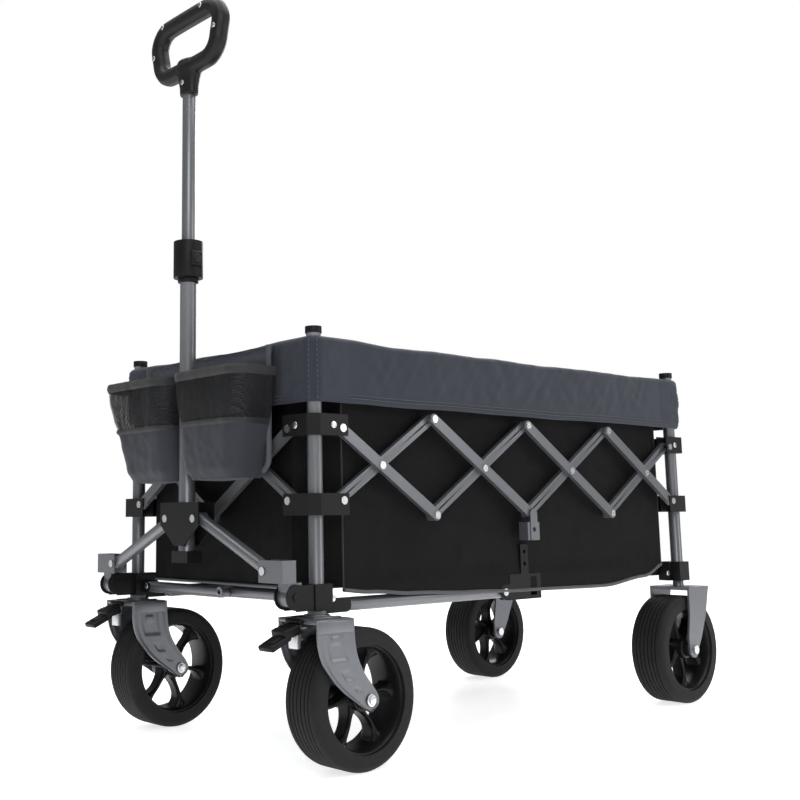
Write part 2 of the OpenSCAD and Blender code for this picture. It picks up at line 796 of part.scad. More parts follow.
// Draws its children in the wagon's own frame when the node asked for has this name
module part(name) {
    translate([-x_mid, 0, 0]) children();
}

for (e = ends, s = sides) part(str(e, "_", s, "_corner")) corner(e, s);
for (e = ends, s = sides) part(str(e, "_", s, "_slider")) slider(e, s);
for (s = sides, b = side_bars) part(str(s, "_bar_", b)) side_bar(s, b);
for (e = ends, b = end_bars) part(str(e, "_bar_", b)) end_bar(e, b);
for (e = ends, s = sides) part(str(e, "_", s, "_wheel")) wheel(e, s);
for (s = sides) part(str("front_", s, "_fork")) front_fork(s);
for (s = sides) part(str(s, "_brake_pedal")) brake_pedal(s);
for (s = sides, e = ends) part(str(s, "_", e, "_rail")) long_rail(s, e);
for (s = sides) part(str(s, "_mid_bracket")) mid_bracket(s);
for (s = sides) part(str(s, "_drop_strap")) drop_strap(s);
for (s = sides) part(str(s, "_cross_rail")) cross_rail(s);
for (s = sides) part(str(s, "_handle_foot")) handle_foot(s);
for (s = sides) part(str(s, "_handle_strut")) handle_strut(s);
translate([-x_mid, 0, 0]) handle_lower_tube();
translate([-x_mid, 0, 0]) handle_upper_tube();
translate([-x_mid, 0, 0]) handle_button();
translate([-x_mid, 0, 0]) handle_grip();
translate([-x_mid, 0, 0]) basket();
translate([-x_mid, 0, 0]) organizer();
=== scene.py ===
"""Looks of a folding camp wagon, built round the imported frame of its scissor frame, wheels and handle."""

import json
import logging
import math
from collections.abc import Callable, Iterable, Sequence
from dataclasses import dataclass, field
from enum import Enum
from typing import Any

import bpy
import numpy as np
from mathutils import Matrix, Vector, noise


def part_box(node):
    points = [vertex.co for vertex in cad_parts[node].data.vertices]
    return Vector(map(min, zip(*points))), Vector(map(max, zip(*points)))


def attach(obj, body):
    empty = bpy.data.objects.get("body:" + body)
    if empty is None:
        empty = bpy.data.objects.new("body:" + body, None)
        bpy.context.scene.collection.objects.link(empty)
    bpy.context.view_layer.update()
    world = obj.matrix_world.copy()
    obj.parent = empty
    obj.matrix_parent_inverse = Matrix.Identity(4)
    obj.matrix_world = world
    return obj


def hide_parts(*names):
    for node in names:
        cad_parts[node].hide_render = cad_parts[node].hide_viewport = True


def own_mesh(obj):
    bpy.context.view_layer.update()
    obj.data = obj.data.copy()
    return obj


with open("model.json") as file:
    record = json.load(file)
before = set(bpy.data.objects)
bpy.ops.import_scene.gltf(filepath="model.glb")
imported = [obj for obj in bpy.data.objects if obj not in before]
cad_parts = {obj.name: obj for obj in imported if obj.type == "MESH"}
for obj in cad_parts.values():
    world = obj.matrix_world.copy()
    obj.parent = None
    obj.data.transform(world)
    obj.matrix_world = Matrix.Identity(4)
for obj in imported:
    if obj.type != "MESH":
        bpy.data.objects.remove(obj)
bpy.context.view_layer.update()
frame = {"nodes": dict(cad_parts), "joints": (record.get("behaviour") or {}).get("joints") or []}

LOG = logging.getLogger("camp_wagon")
MM = 0.001
LINER_THICK = 1.4 * MM  # the liner's cloth
BAND_THICK = 1.3 * MM  # the outer band's cloth
FORK_TRAIL = 64.0  # mm from the swivel to the axle
Point = tuple[float, float, float]
Place = Callable[[float, float], Point]
Test = Callable[[Vector, Vector], bool]


class Side(Enum):
    """Left or right of the wagon, with the sign of its Y."""

    LEFT = -1
    RIGHT = 1

    @property
    def word(self) -> str:
        """The side's word in node names."""
        return self.name.lower()


class End(Enum):
    """The handle end or the rear, with the sign of its X."""

    FRONT = -1
    REAR = 1

    @property
    def word(self) -> str:
        """The end's word in node names."""
        return self.name.lower()


# ---------------------------------------------------------------- shader expressions


class Value:
    """A shader socket that takes part in Python expressions."""

    def __init__(self, shader: "Shader", socket: bpy.types.NodeSocket) -> None:
        """Wraps a socket.

        Args:
            shader: the material that owns it
            socket: an output socket
        """
        self.shader = shader
        self.socket = socket

    def _math(self, operation: str, first: Any, second: Any) -> "Value":
        """Adds one Math node and returns its result."""
        made = self.shader.node("ShaderNodeMath", {"operation": operation}, {0: first, 1: second})
        return self.shader.out(made)

    def __add__(self, other: Any) -> "Value":
        """Sum."""
        return self._math("ADD", self, other)

    def __radd__(self, other: Any) -> "Value":
        """Reflected sum."""
        return self._math("ADD", other, self)

    def __sub__(self, other: Any) -> "Value":
        """Difference."""
        return self._math("SUBTRACT", self, other)

    def __rsub__(self, other: Any) -> "Value":
        """Reflected difference."""
        return self._math("SUBTRACT", other, self)

    def __mul__(self, other: Any) -> "Value":
        """Product."""
        return self._math("MULTIPLY", self, other)

    def __rmul__(self, other: Any) -> "Value":
        """Reflected product."""
        return self._math("MULTIPLY", other, self)

    def __truediv__(self, other: Any) -> "Value":
        """Quotient."""
        return self._math("DIVIDE", self, other)

    def __pow__(self, other: Any) -> "Value":
        """Power."""
        return self._math("POWER", self, other)

    def sine(self) -> "Value":
        """Sine."""
        return self._math("SINE", self, 0.0)

    def size(self) -> "Value":
        """Absolute value."""
        return self._math("ABSOLUTE", self, 0.0)

    def ramp(self, low: float, high: float) -> "Value":
        """0 below low, 1 above high, smooth between.

        Args:
            low: value where the ramp starts
            high: value where it ends

        Returns:
            The ramp's value.
        """
        made = self.shader.node(
            "ShaderNodeMapRange", {"interpolation_type": "SMOOTHSTEP"}, {0: self, 1: low, 2: high}
        )
        return self.shader.out(made)


class Shader:
    """A material with one Principled shader, and the means to add nodes to it."""

    def __init__(self, name: str) -> None:
        """Starts an empty material.

        Args:
            name: the material's name
        """
        self.material = bpy.data.materials.new(name)
        self.material.use_nodes = True
        self.nodes = self.material.node_tree.nodes
        self.links = self.material.node_tree.links
        self.principled = self.nodes["Principled BSDF"]
        self._place: Value | None = None

    def node(self, kind: str, settings: dict[str, Any], inputs: dict[Any, Any]) -> bpy.types.Node:
        """Adds any node.

        Args:
            kind: the node's type
            settings: its settings, set first
            inputs: values or Values of its input sockets, by name or number

        Returns:
            The node.
        """
        made = self.nodes.new(kind)
        for key, value in settings.items():
            setattr(made, key, value)
        for key, value in inputs.items():
            self.feed(made.inputs[key], value)
        return made

    def feed(self, socket: bpy.types.NodeSocket, value: Any) -> None:
        """Sets or links one input socket."""
        if isinstance(value, Value):
            self.links.new(value.socket, socket)
        else:
            socket.default_value = value

    def out(self, made: bpy.types.Node, name: Any = 0) -> Value:
        """An output of a node as a Value."""
        return Value(self, made.outputs[name])

    def place(self) -> Value:
        """Object coordinates."""
        if self._place is None:
            self._place = self.out(self.node("ShaderNodeTexCoord", {}, {}), "Object")
        return self._place

    def axes(self) -> tuple[Value, Value, Value]:
        """Object coordinates as three numbers."""
        split = self.node("ShaderNodeSeparateXYZ", {}, {0: self.place()})
        return self.out(split, 0), self.out(split, 1), self.out(split, 2)

    def grain(self, scale: float, detail: float = 3.0, rough: float = 0.55) -> Value:
        """Noise in Object coordinates.

        Args:
            scale: noise cells in a metre
            detail: octaves
            rough: how strong the finer octaves are

        Returns:
            Its value, from 0 to 1.
        """
        settings = {"Scale": scale, "Detail": detail, "Roughness": rough, "Vector": self.place()}
        return self.out(self.node("ShaderNodeTexNoise", {}, settings), "Fac")

    def blend(self, factor: Any, first: Sequence[float], second: Sequence[float]) -> Value:
        """A colour between two colours."""
        made = self.node("ShaderNodeMix", {"data_type": "RGBA"}, {0: factor, 6: first, 7: second})
        return self.out(made, 2)

    def tint(self, colour: Value, other: Value, factor: Any) -> Value:
        """A mix of two colour Values."""
        made = self.node("ShaderNodeMix", {"data_type": "RGBA"}, {0: factor, 6: colour, 7: other})
        return self.out(made, 2)

    def relief(self, height: Value, depth: float, strength: float = 1.0) -> Value:
        """A bumped normal.

        Args:
            height: 0 to 1 height
            depth: metres between 0 and 1
            strength: how much of it shows

        Returns:
            The normal.
        """
        made = self.node(
            "ShaderNodeBump", {}, {"Strength": strength, "Distance": depth, "Height": height}
        )
        return self.out(made)

    def set(self, **sockets: Any) -> None:
        """Sets Principled sockets; underscores in a name stand for spaces."""
        for name, value in sockets.items():
            self.feed(self.principled.inputs[name.replace("_", " ")], value)


def rgba(colour: Sequence[float], gain: float = 1.0) -> tuple[float, float, float, float]:
    """A colour times a gain, with alpha 1."""
    return (colour[0] * gain, colour[1] * gain, colour[2] * gain, 1.0)


@dataclass(frozen=True)
class PowderCoat:
    """Sprayed and baked metallic paint: fine orange peel, faint dust and rubbed spots."""

    name: str
    colour: tuple[float, float, float]
    rough: float = 0.38
    metallic: float = 0.55

    def make(self) -> bpy.types.Material:
        """Builds the material."""
        shader = Shader(self.name)
        peel = shader.grain(900.0, 2.0)
        flake = shader.grain(5200.0, 1.0)
        cloud = shader.grain(9.0, 4.0)
        rub = shader.grain(38.0, 6.0, 0.7).ramp(0.62, 0.78)
        base = shader.blend(cloud, rgba(self.colour, 0.88), rgba(self.colour, 1.12))
        base = shader.tint(base, shader.blend(flake, rgba(self.colour, 0.8), rgba(self.colour, 1.35)), 0.35)
        base = shader.tint(base, shader.blend(0.5, rgba(self.colour, 1.5), rgba(self.colour, 1.5)), rub * 0.35)
        shader.set(
            Base_Color=base,
            Roughness=self.rough + (cloud - 0.5) * 0.16 + rub * 0.1,
            Metallic=self.metallic,
            Normal=shader.relief(peel * 0.7 + flake * 0.3, 0.00006, 0.55),
            Coat_Weight=0.15,
            Coat_Roughness=0.25,
        )
        return shader.material


@dataclass(frozen=True)
class MouldedPlastic:
    """Glass-filled moulded plastic with a spark-eroded grain and handled, shinier spots."""

    name: str
    colour: tuple[float, float, float]
    rough: float = 0.46
    grain_size: float = 1500.0

    def make(self) -> bpy.types.Material:
        """Builds the material."""
        shader = Shader(self.name)
        pits = shader.grain(self.grain_size, 2.0, 0.6)
        cloud = shader.grain(14.0, 4.0)
        worn = shader.grain(60.0, 5.0, 0.65).ramp(0.58, 0.74)
        base = shader.blend(cloud, rgba(self.colour, 0.8), rgba(self.colour, 1.3))
        shader.set(
            Base_Color=shader.tint(
                base, shader.blend(0.5, rgba(self.colour, 2.2), rgba(self.colour, 2.2)), worn * 0.3),
            Roughness=self.rough + (cloud - 0.5) * 0.18 - worn * 0.1,
            Normal=shader.relief(pits, 0.00009, 0.5),
        )
        shader.set(Specular_IOR_Level=0.16)
        return shader.material


@dataclass(frozen=True)
class PlatedSteel:
    """Bright zinc-plated steel of rivets, bolts and screws."""

    name: str
    colour: tuple[float, float, float] = (0.6, 0.6, 0.615)
    rough: float = 0.2

    def make(self) -> bpy.types.Material:
        """Builds the material."""
        shader = Shader(self.name)
        smear = shader.grain(420.0, 5.0, 0.7)
        spots = shader.grain(130.0, 4.0).ramp(0.6, 0.75)
        shader.set(
            Base_Color=shader.blend(smear, rgba(self.colour, 0.8), rgba(self.colour, 1.1)),
            Roughness=self.rough + smear * 0.14 + spots * 0.1,
            Metallic=1.0,
            Normal=shader.relief(smear, 0.00003, 0.4),
        )
        return shader.material


@dataclass(frozen=True)
class TyreRubber:
    """Foam-filled tyre skin: dull black with moulding rings and a trace of dust."""

    name: str
    centre: Point
    colour: tuple[float, float, float] = (0.0075, 0.0075, 0.008)

    def make(self) -> bpy.types.Material:
        """Builds the material."""
        shader = Shader(self.name)
        x, _, z = shader.axes()
        u, w = x - self.centre[0], z - self.centre[2]
        radius = (u * u + w * w) ** 0.5
        rings = (radius * 2400.0).sine() * 0.5 + 0.5
        side = 1.0 - radius.ramp(0.0925, 0.0955)
        dust = shader.grain(26.0, 6.0, 0.7)
        pits = shader.grain(1300.0, 3.0)
        base = shader.blend(dust.ramp(0.5, 0.85) * 0.5, rgba(self.colour), rgba(self.colour, 3.4))
        shader.set(
            Base_Color=base,
            Roughness=0.62 + dust * 0.2,
            Normal=shader.relief(rings * side * 0.6 + pits * 0.35, 0.00035, 0.6),
            Specular_IOR_Level=0.22,
        )
        return shader.material


@dataclass(frozen=True)
class WovenCloth:
    """Coated polyester: a plain weave of small square yarns with soft sheen and faded folds."""

    name: str
    colour: tuple[float, float, float]
    yarns: float = 900.0
    sheen: float = 0.25
    rough: float = 0.72

    def make(self) -> bpy.types.Material:
        """Builds the material."""
        shader = Shader(self.name)
        x, y, z = shader.axes()
        turn = 2.0 * math.pi * self.yarns
        across = ((x + y) * turn).sine()
        upward = (z * turn + y * turn).sine()
        weave = (across * upward) * 0.5 + 0.5
        slub = shader.grain(160.0, 4.0, 0.65)
        cloud = shader.grain(7.0, 5.0, 0.6)
        dust = shader.grain(30.0, 6.0, 0.7).ramp(0.56, 0.84)
        base = shader.blend(cloud, rgba(self.colour, 0.82), rgba(self.colour, 1.18))
        threads = shader.blend(weave, rgba(self.colour, 0.7), rgba(self.colour, 1.35))
        base = shader.tint(base, threads, 0.45)
        base = shader.tint(base, shader.blend(0.5, rgba(self.colour, 1.9), rgba(self.colour, 1.9)), dust * 0.22)
        shader.set(
            Base_Color=base,
            Roughness=self.rough + (slub - 0.5) * 0.2,
            Normal=shader.relief(weave * 0.6 + slub * 0.5, 0.00028, 0.55),
            Sheen_Weight=self.sheen,
            Sheen_Roughness=0.45,
            Specular_IOR_Level=0.13,
        )
        return shader.material


@dataclass(frozen=True)
class OpenMesh:
    """Knitted net: round holes in rows, dark glossy yarn between them."""

    name: str
    colour: tuple[float, float, float] = (0.005, 0.005, 0.0056)
    pitch: float = 0.0056

    def make(self) -> bpy.types.Material:
        """Builds the material."""
        shader = Shader(self.name)
        x, y, z = shader.axes()
        turn = math.pi / self.pitch
        first = ((y + x + z) * turn).sine()
        second = ((y + x - z) * turn).sine()
        hole = (first * second).size().ramp(0.22, 0.42)
        yarn = 1.0 - hole
        fuzz = shader.grain(700.0, 3.0)
        shader.set(
            Base_Color=shader.blend(fuzz, rgba(self.colour, 0.7), rgba(self.colour, 2.0)),
            Roughness=0.5 + fuzz * 0.2,
            Alpha=yarn,
            Normal=shader.relief(yarn, 0.0006, 0.7),
            Specular_IOR_Level=0.25,
        )
        return shader.material


@dataclass(frozen=True)
class Webbing:
    """Ribbed narrow tape and piping."""

    name: str
    colour: tuple[float, float, float]
    ribs: float = 700.0

    def make(self) -> bpy.types.Material:
        """Builds the material."""
        shader = Shader(self.name)
        x, y, z = shader.axes()
        rib = ((x + y + z) * (2.0 * math.pi * self.ribs)).sine() * 0.5 + 0.5
        fuzz = shader.grain(420.0, 4.0)
        shader.set(
            Base_Color=shader.blend(rib * 0.6 + fuzz * 0.4, rgba(self.colour, 0.65), rgba(self.colour, 1.4)),
            Roughness=0.75 + (fuzz - 0.5) * 0.2,
            Normal=shader.relief(rib * 0.7 + fuzz * 0.3, 0.0003, 0.6),
            Sheen_Weight=0.06,
        )
        return shader.material


GREY = (0.105, 0.109, 0.118)
PALE_GREY = (0.115, 0.12, 0.131)
BLACK = (0.0045, 0.0045, 0.005)
SLATE = (0.0195, 0.023, 0.031)
CHARCOAL = (0.002, 0.002, 0.0024)
LINING_GREY = (0.024, 0.026, 0.033)


class Finishes:
    """Every finish of the wagon, made once."""

    def __init__(self) -> None:
        """Builds the materials that all pieces share."""
        self.bar = PowderCoat("bar_paint", GREY).make()
        self.tube = PowderCoat("tube_paint", (0.135, 0.14, 0.15), 0.34, 0.6).make()
        self.fork = PowderCoat("fork_paint", PALE_GREY, 0.36, 0.6).make()
        self.plastic = MouldedPlastic("bracket_plastic", BLACK).make()
        self.gloss = MouldedPlastic("rim_plastic", (0.006, 0.006, 0.0066), 0.34, 1100.0).make()
        self.grip = MouldedPlastic("grip_plastic", (0.009, 0.009, 0.0096), 0.42, 800.0).make()
        self.steel = PlatedSteel("rivet_steel").make()
        self.plate = PlatedSteel("tab_steel", (0.55, 0.55, 0.56), 0.34).make()
        self.liner = WovenCloth("liner_cloth", CHARCOAL, 850.0, 0.0, 0.74).make()
        self.band = WovenCloth("band_cloth", SLATE, 800.0, 0.12, 0.62).make()
        self.pocket = WovenCloth("pocket_cloth", LINING_GREY, 700.0, 0.12, 0.66).make()
        self.net = OpenMesh("pocket_net").make()
        self.tape = Webbing("edge_tape", (0.006, 0.006, 0.0068)).make()
        self.piping = Webbing("grey_piping", (0.042, 0.045, 0.05), 420.0).make()


# ---------------------------------------------------------------- modelling bench


class Bench:
    """Blender's modelling operators, one piece at a time."""

    cuts: dict[str, tuple[float, float, float]] = {}

    @staticmethod
    def clear() -> None:
        """Leaves edit mode and deselects everything."""
        if bpy.context.object is not None and bpy.context.object.mode != "OBJECT":
            bpy.ops.object.mode_set(mode="OBJECT")
        bpy.ops.object.select_all(action="DESELECT")

    @classmethod
    def take(cls, name: str) -> bpy.types.Object:
        """Names the active object as a new piece and returns it."""
        piece = bpy.context.object
        piece.name = name
        piece.data.name = name
        return piece

    @classmethod
    def only(cls, piece: bpy.types.Object) -> None:
        """Makes one piece the only selected and active one."""
        cls.clear()
        piece.select_set(True)
        bpy.context.view_layer.objects.active = piece

    @classmethod
    def settle(cls, piece: bpy.types.Object) -> None:
        """Moves the piece's place, turn and size into its mesh."""
        cls.only(piece)
        bpy.ops.object.transform_apply(location=True, rotation=True, scale=True)

    @classmethod
    def block(cls, name: str, low: Point, high: Point, round_by: float, steps: int = 2) -> bpy.types.Object:
        """A block with rounded edges.

        Args:
            name: the piece's name
            low: its lowest corner, in metres
            high: its highest corner
            round_by: width of the rounding
            steps: segments of the rounding

        Returns:
            The piece.
        """
        cls.clear()
        centre = [(a + b) / 2 for a, b in zip(low, high)]
        bpy.ops.mesh.primitive_cube_add(size=1, location=centre)
        piece = cls.take(name)
        piece.scale = [b - a for a, b in zip(low, high)]
        cls.settle(piece)
        if round_by > 0:
            bpy.ops.object.mode_set(mode="EDIT")
            bpy.ops.mesh.select_all(action="SELECT")
            bpy.ops.mesh.bevel(offset=round_by, segments=steps, affect="EDGES")
            bpy.ops.object.mode_set(mode="OBJECT")
        cls.smooth(piece)
        return piece

    @classmethod
    def rod(
        cls, name: str, start: Point, end: Point, radius: float, round_by: float = 0.0, sides: int = 40
    ) -> bpy.types.Object:
        """A round bar between two points with rounded rims.

        Args:
            name: the piece's name
            start: centre of one end
            end: centre of the other end
            radius: the bar's radius
            round_by: rounding of the rims
            sides: vertices round it

        Returns:
            The piece.
        """
        cls.clear()
        a, b = Vector(start), Vector(end)
        way = b - a
        bpy.ops.mesh.primitive_cylinder_add(
            vertices=sides, radius=radius, depth=way.length, location=(a + b) / 2,
            rotation=way.to_track_quat("Z", "Y").to_euler(),
        )
        piece = cls.take(name)
        if round_by > 0:
            cls.pick_edges(piece, lambda edge, mesh: abs(
                mesh.vertices[edge.vertices[0]].co.z - mesh.vertices[edge.vertices[1]].co.z) < 1e-7)
            bpy.ops.object.mode_set(mode="EDIT")
            bpy.ops.mesh.bevel(offset=round_by, segments=3, affect="EDGES")
            bpy.ops.object.mode_set(mode="OBJECT")
        cls.settle(piece)
        cls.smooth(piece)
        return piece

    @classmethod
    def pick_edges(cls, piece: bpy.types.Object, test: Callable[[Any, Any], bool]) -> None:
        """Selects the edges of a piece that pass a test."""
        cls.only(piece)
        bpy.ops.object.mode_set(mode="EDIT")
        bpy.ops.mesh.select_mode(type="EDGE")
        bpy.ops.mesh.select_all(action="DESELECT")
        bpy.ops.object.mode_set(mode="OBJECT")
        for edge in piece.data.edges:
            edge.select = test(edge, piece.data)

    @classmethod
    def pick_faces(cls, piece: bpy.types.Object, test: Callable[[Vector, Vector], bool]) -> None:
        """Selects the faces of a piece whose centre and normal pass a test."""
        cls.only(piece)
        bpy.ops.object.mode_set(mode="EDIT")
        bpy.ops.mesh.select_mode(type="FACE")
        bpy.ops.mesh.select_all(action="DESELECT")
        bpy.ops.object.mode_set(mode="OBJECT")
        for face in piece.data.polygons:
            face.select = test(face.center, face.normal)

    @classmethod
    def smooth(cls, piece: bpy.types.Object, angle: float = 38.0) -> None:
        """Shades a piece smooth, with creases above the angle in degrees."""
        cls.only(piece)
        bpy.ops.object.shade_smooth_by_angle(angle=math.radians(angle))

    @staticmethod
    def cut_size(piece: bpy.types.Object, columns: int, rows: int) -> tuple[float, float, float]:
        """The width, length and area that a grid of cloth is cut to, laid flat."""
        spots = [vertex.co for vertex in piece.data.vertices]
        across = columns + 1
        width = max(
            sum((spots[r * across + c + 1] - spots[r * across + c]).length for c in range(columns))
            for r in range(rows + 1))
        length = max(
            sum((spots[(r + 1) * across + c] - spots[r * across + c]).length for r in range(rows))
            for c in range(across))
        return width, length, sum(face.area for face in piece.data.polygons)

    @classmethod
    def cloth(
        cls, name: str, columns: int, rows: int, place: Place, thick: float, finish: bpy.types.Material,
        flip: bool = False,
    ) -> bpy.types.Object:
        """A sheet of fabric laid by a rule.

        Args:
            name: the piece's name
            columns: cells along u
            rows: cells along v
            place: gives the point, in metres, for u and v from 0 to 1
            thick: the fabric's thickness
            finish: its material
            flip: True where u and v run the other way round

        Returns:
            The piece.
        """
        cls.clear()
        bpy.ops.mesh.primitive_grid_add(x_subdivisions=columns, y_subdivisions=rows, size=1)
        piece = cls.take(name)
        for vertex in piece.data.vertices:
            vertex.co = place(vertex.co.x + 0.5, vertex.co.y + 0.5)
        cls.cuts[name] = cls.cut_size(piece, columns, rows)
        if flip:
            bpy.ops.object.mode_set(mode="EDIT")
            bpy.ops.mesh.select_all(action="SELECT")
            bpy.ops.mesh.flip_normals()
            bpy.ops.object.mode_set(mode="OBJECT")
        wall = piece.modifiers.new("thickness", "SOLIDIFY")
        wall.thickness = thick
        wall.offset = 0.0
        bpy.ops.object.modifier_apply(modifier=wall.name)
        cls.smooth(piece, 60.0)
        piece.data.materials.append(finish)
        return piece

    @classmethod
    def cord(
        cls, name: str, points: Iterable[Point], radius: float, finish: bpy.types.Material, closed: bool = False
    ) -> bpy.types.Object:
        """A round cord swept along points, as a mesh.

        Args:
            name: the piece's name
            points: places along its middle
            radius: its radius
            finish: its material
            closed: True for a loop

        Returns:
            The piece.
        """
        cls.clear()
        curve = bpy.data.curves.new(name, "CURVE")
        curve.dimensions = "3D"
        curve.bevel_depth = radius
        curve.bevel_resolution = 3
        curve.resolution_u = 6
        curve.use_fill_caps = True
        spline = curve.splines.new("NURBS")
        listed = list(points)
        spline.points.add(len(listed) - 1)
        for spot, point in zip(spline.points, listed):
            spot.co = (*point, 1.0)
        spline.order_u = 4
        spline.use_endpoint_u = not closed
        spline.use_cyclic_u = closed
        piece = bpy.data.objects.new(name, curve)
        bpy.context.scene.collection.objects.link(piece)
        cls.only(piece)
        bpy.ops.object.convert(target="MESH")
        piece = bpy.context.object
        cls.smooth(piece, 60.0)
        piece.data.materials.clear()
        piece.data.materials.append(finish)
        return piece

    @classmethod
    def join(cls, name: str, parts: Sequence[bpy.types.Object]) -> bpy.types.Object:
        """Joins several meshes into one piece."""
        cls.clear()
        for part in parts:
            part.select_set(True)
        bpy.context.view_layer.objects.active = parts[0]
        if len(parts) > 1:
            bpy.ops.object.join()
        return cls.take(name)

    @staticmethod
    def close_up() -> None:
        """Merges doubles, points the faces outwards and leaves edit mode."""
        bpy.ops.mesh.select_all(action="SELECT")
        bpy.ops.mesh.remove_doubles(threshold=0.00001)
        bpy.ops.mesh.normals_make_consistent(inside=False)
        bpy.ops.object.mode_set(mode="OBJECT")

    @classmethod
    def copy(cls, piece: bpy.types.Object, name: str, turn: Matrix) -> bpy.types.Object:
        """A copy with its own mesh, moved by a matrix.

        Args:
            piece: what to copy
            name: the copy's name
            turn: the move

        Returns:
            The copy.
        """
        made = piece.copy()
        made.data = piece.data.copy()
        made.name = name
        made.data.name = name
        bpy.context.scene.collection.objects.link(made)
        made.data.transform(turn)
        return made

    @staticmethod
    def paint(piece: bpy.types.Object, finish: bpy.types.Material) -> bpy.types.Object:
        """Gives a piece one material."""
        piece.data.materials.clear()
        piece.data.materials.append(finish)
        return piece


def finish_piece(piece: bpy.types.Object, body: str, replaced: Sequence[str] = ()) -> None:
    """Rides a piece on a body, hides the nodes that it stands for, and logs its cut if it is cloth other than the floor
    mat.
    """
    cut = Bench.cuts.pop(piece.name, None)
    if cut is not None and piece.name.startswith("floor_mat"):
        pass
    elif cut is not None:
        width, length, area = cut
        min(area, width * length)
        LOG.info("sheet %s: %.3f x %.3f m, %.4f m2", piece.name, width, length, area)
    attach(piece, body)
    if replaced:
        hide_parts(*replaced)
    LOG.info("%s rides %s (%d faces)", piece.name, body, len(piece.data.polygons))


# ---------------------------------------------------------------- where things are


@dataclass
class Layout:
    """The wagon's places, in millimetres from the front post axis, worked out from the frame."""

    rear_lead: float = 26.0
    folded_len: float = 331.39
    folded_w: float = 191.18
    corner: float = 54.0
    half_w: float = field(init=False)
    length: float = field(init=False)
    shift: float = field(init=False)

    def __post_init__(self) -> None:
        """Reads the posts' places from the joints."""
        places = {joint["name"]: joint for joint in frame["joints"]}
        front = Vector(places["front_left_swivel"]["pos_m"]) / MM
        rear = Vector(places["rear_left_wheel_spin"]["pos_m"]) / MM
        self.half_w = -front.y
        self.shift = front.x
        self.length = rear.x - front.x + self.rear_lead

    def point(self, x: float, y: float, z: float) -> Point:
        """A place in metres in the row frame."""
        return ((x + self.shift) * MM, y * MM, z * MM)

    def back(self, place: Vector) -> Vector:
        """A place of the row frame, in millimetres from the front post axis."""
        return Vector((place.x / MM - self.shift, place.y / MM, place.z / MM))


# ---------------------------------------------------------------- the frame's own nodes


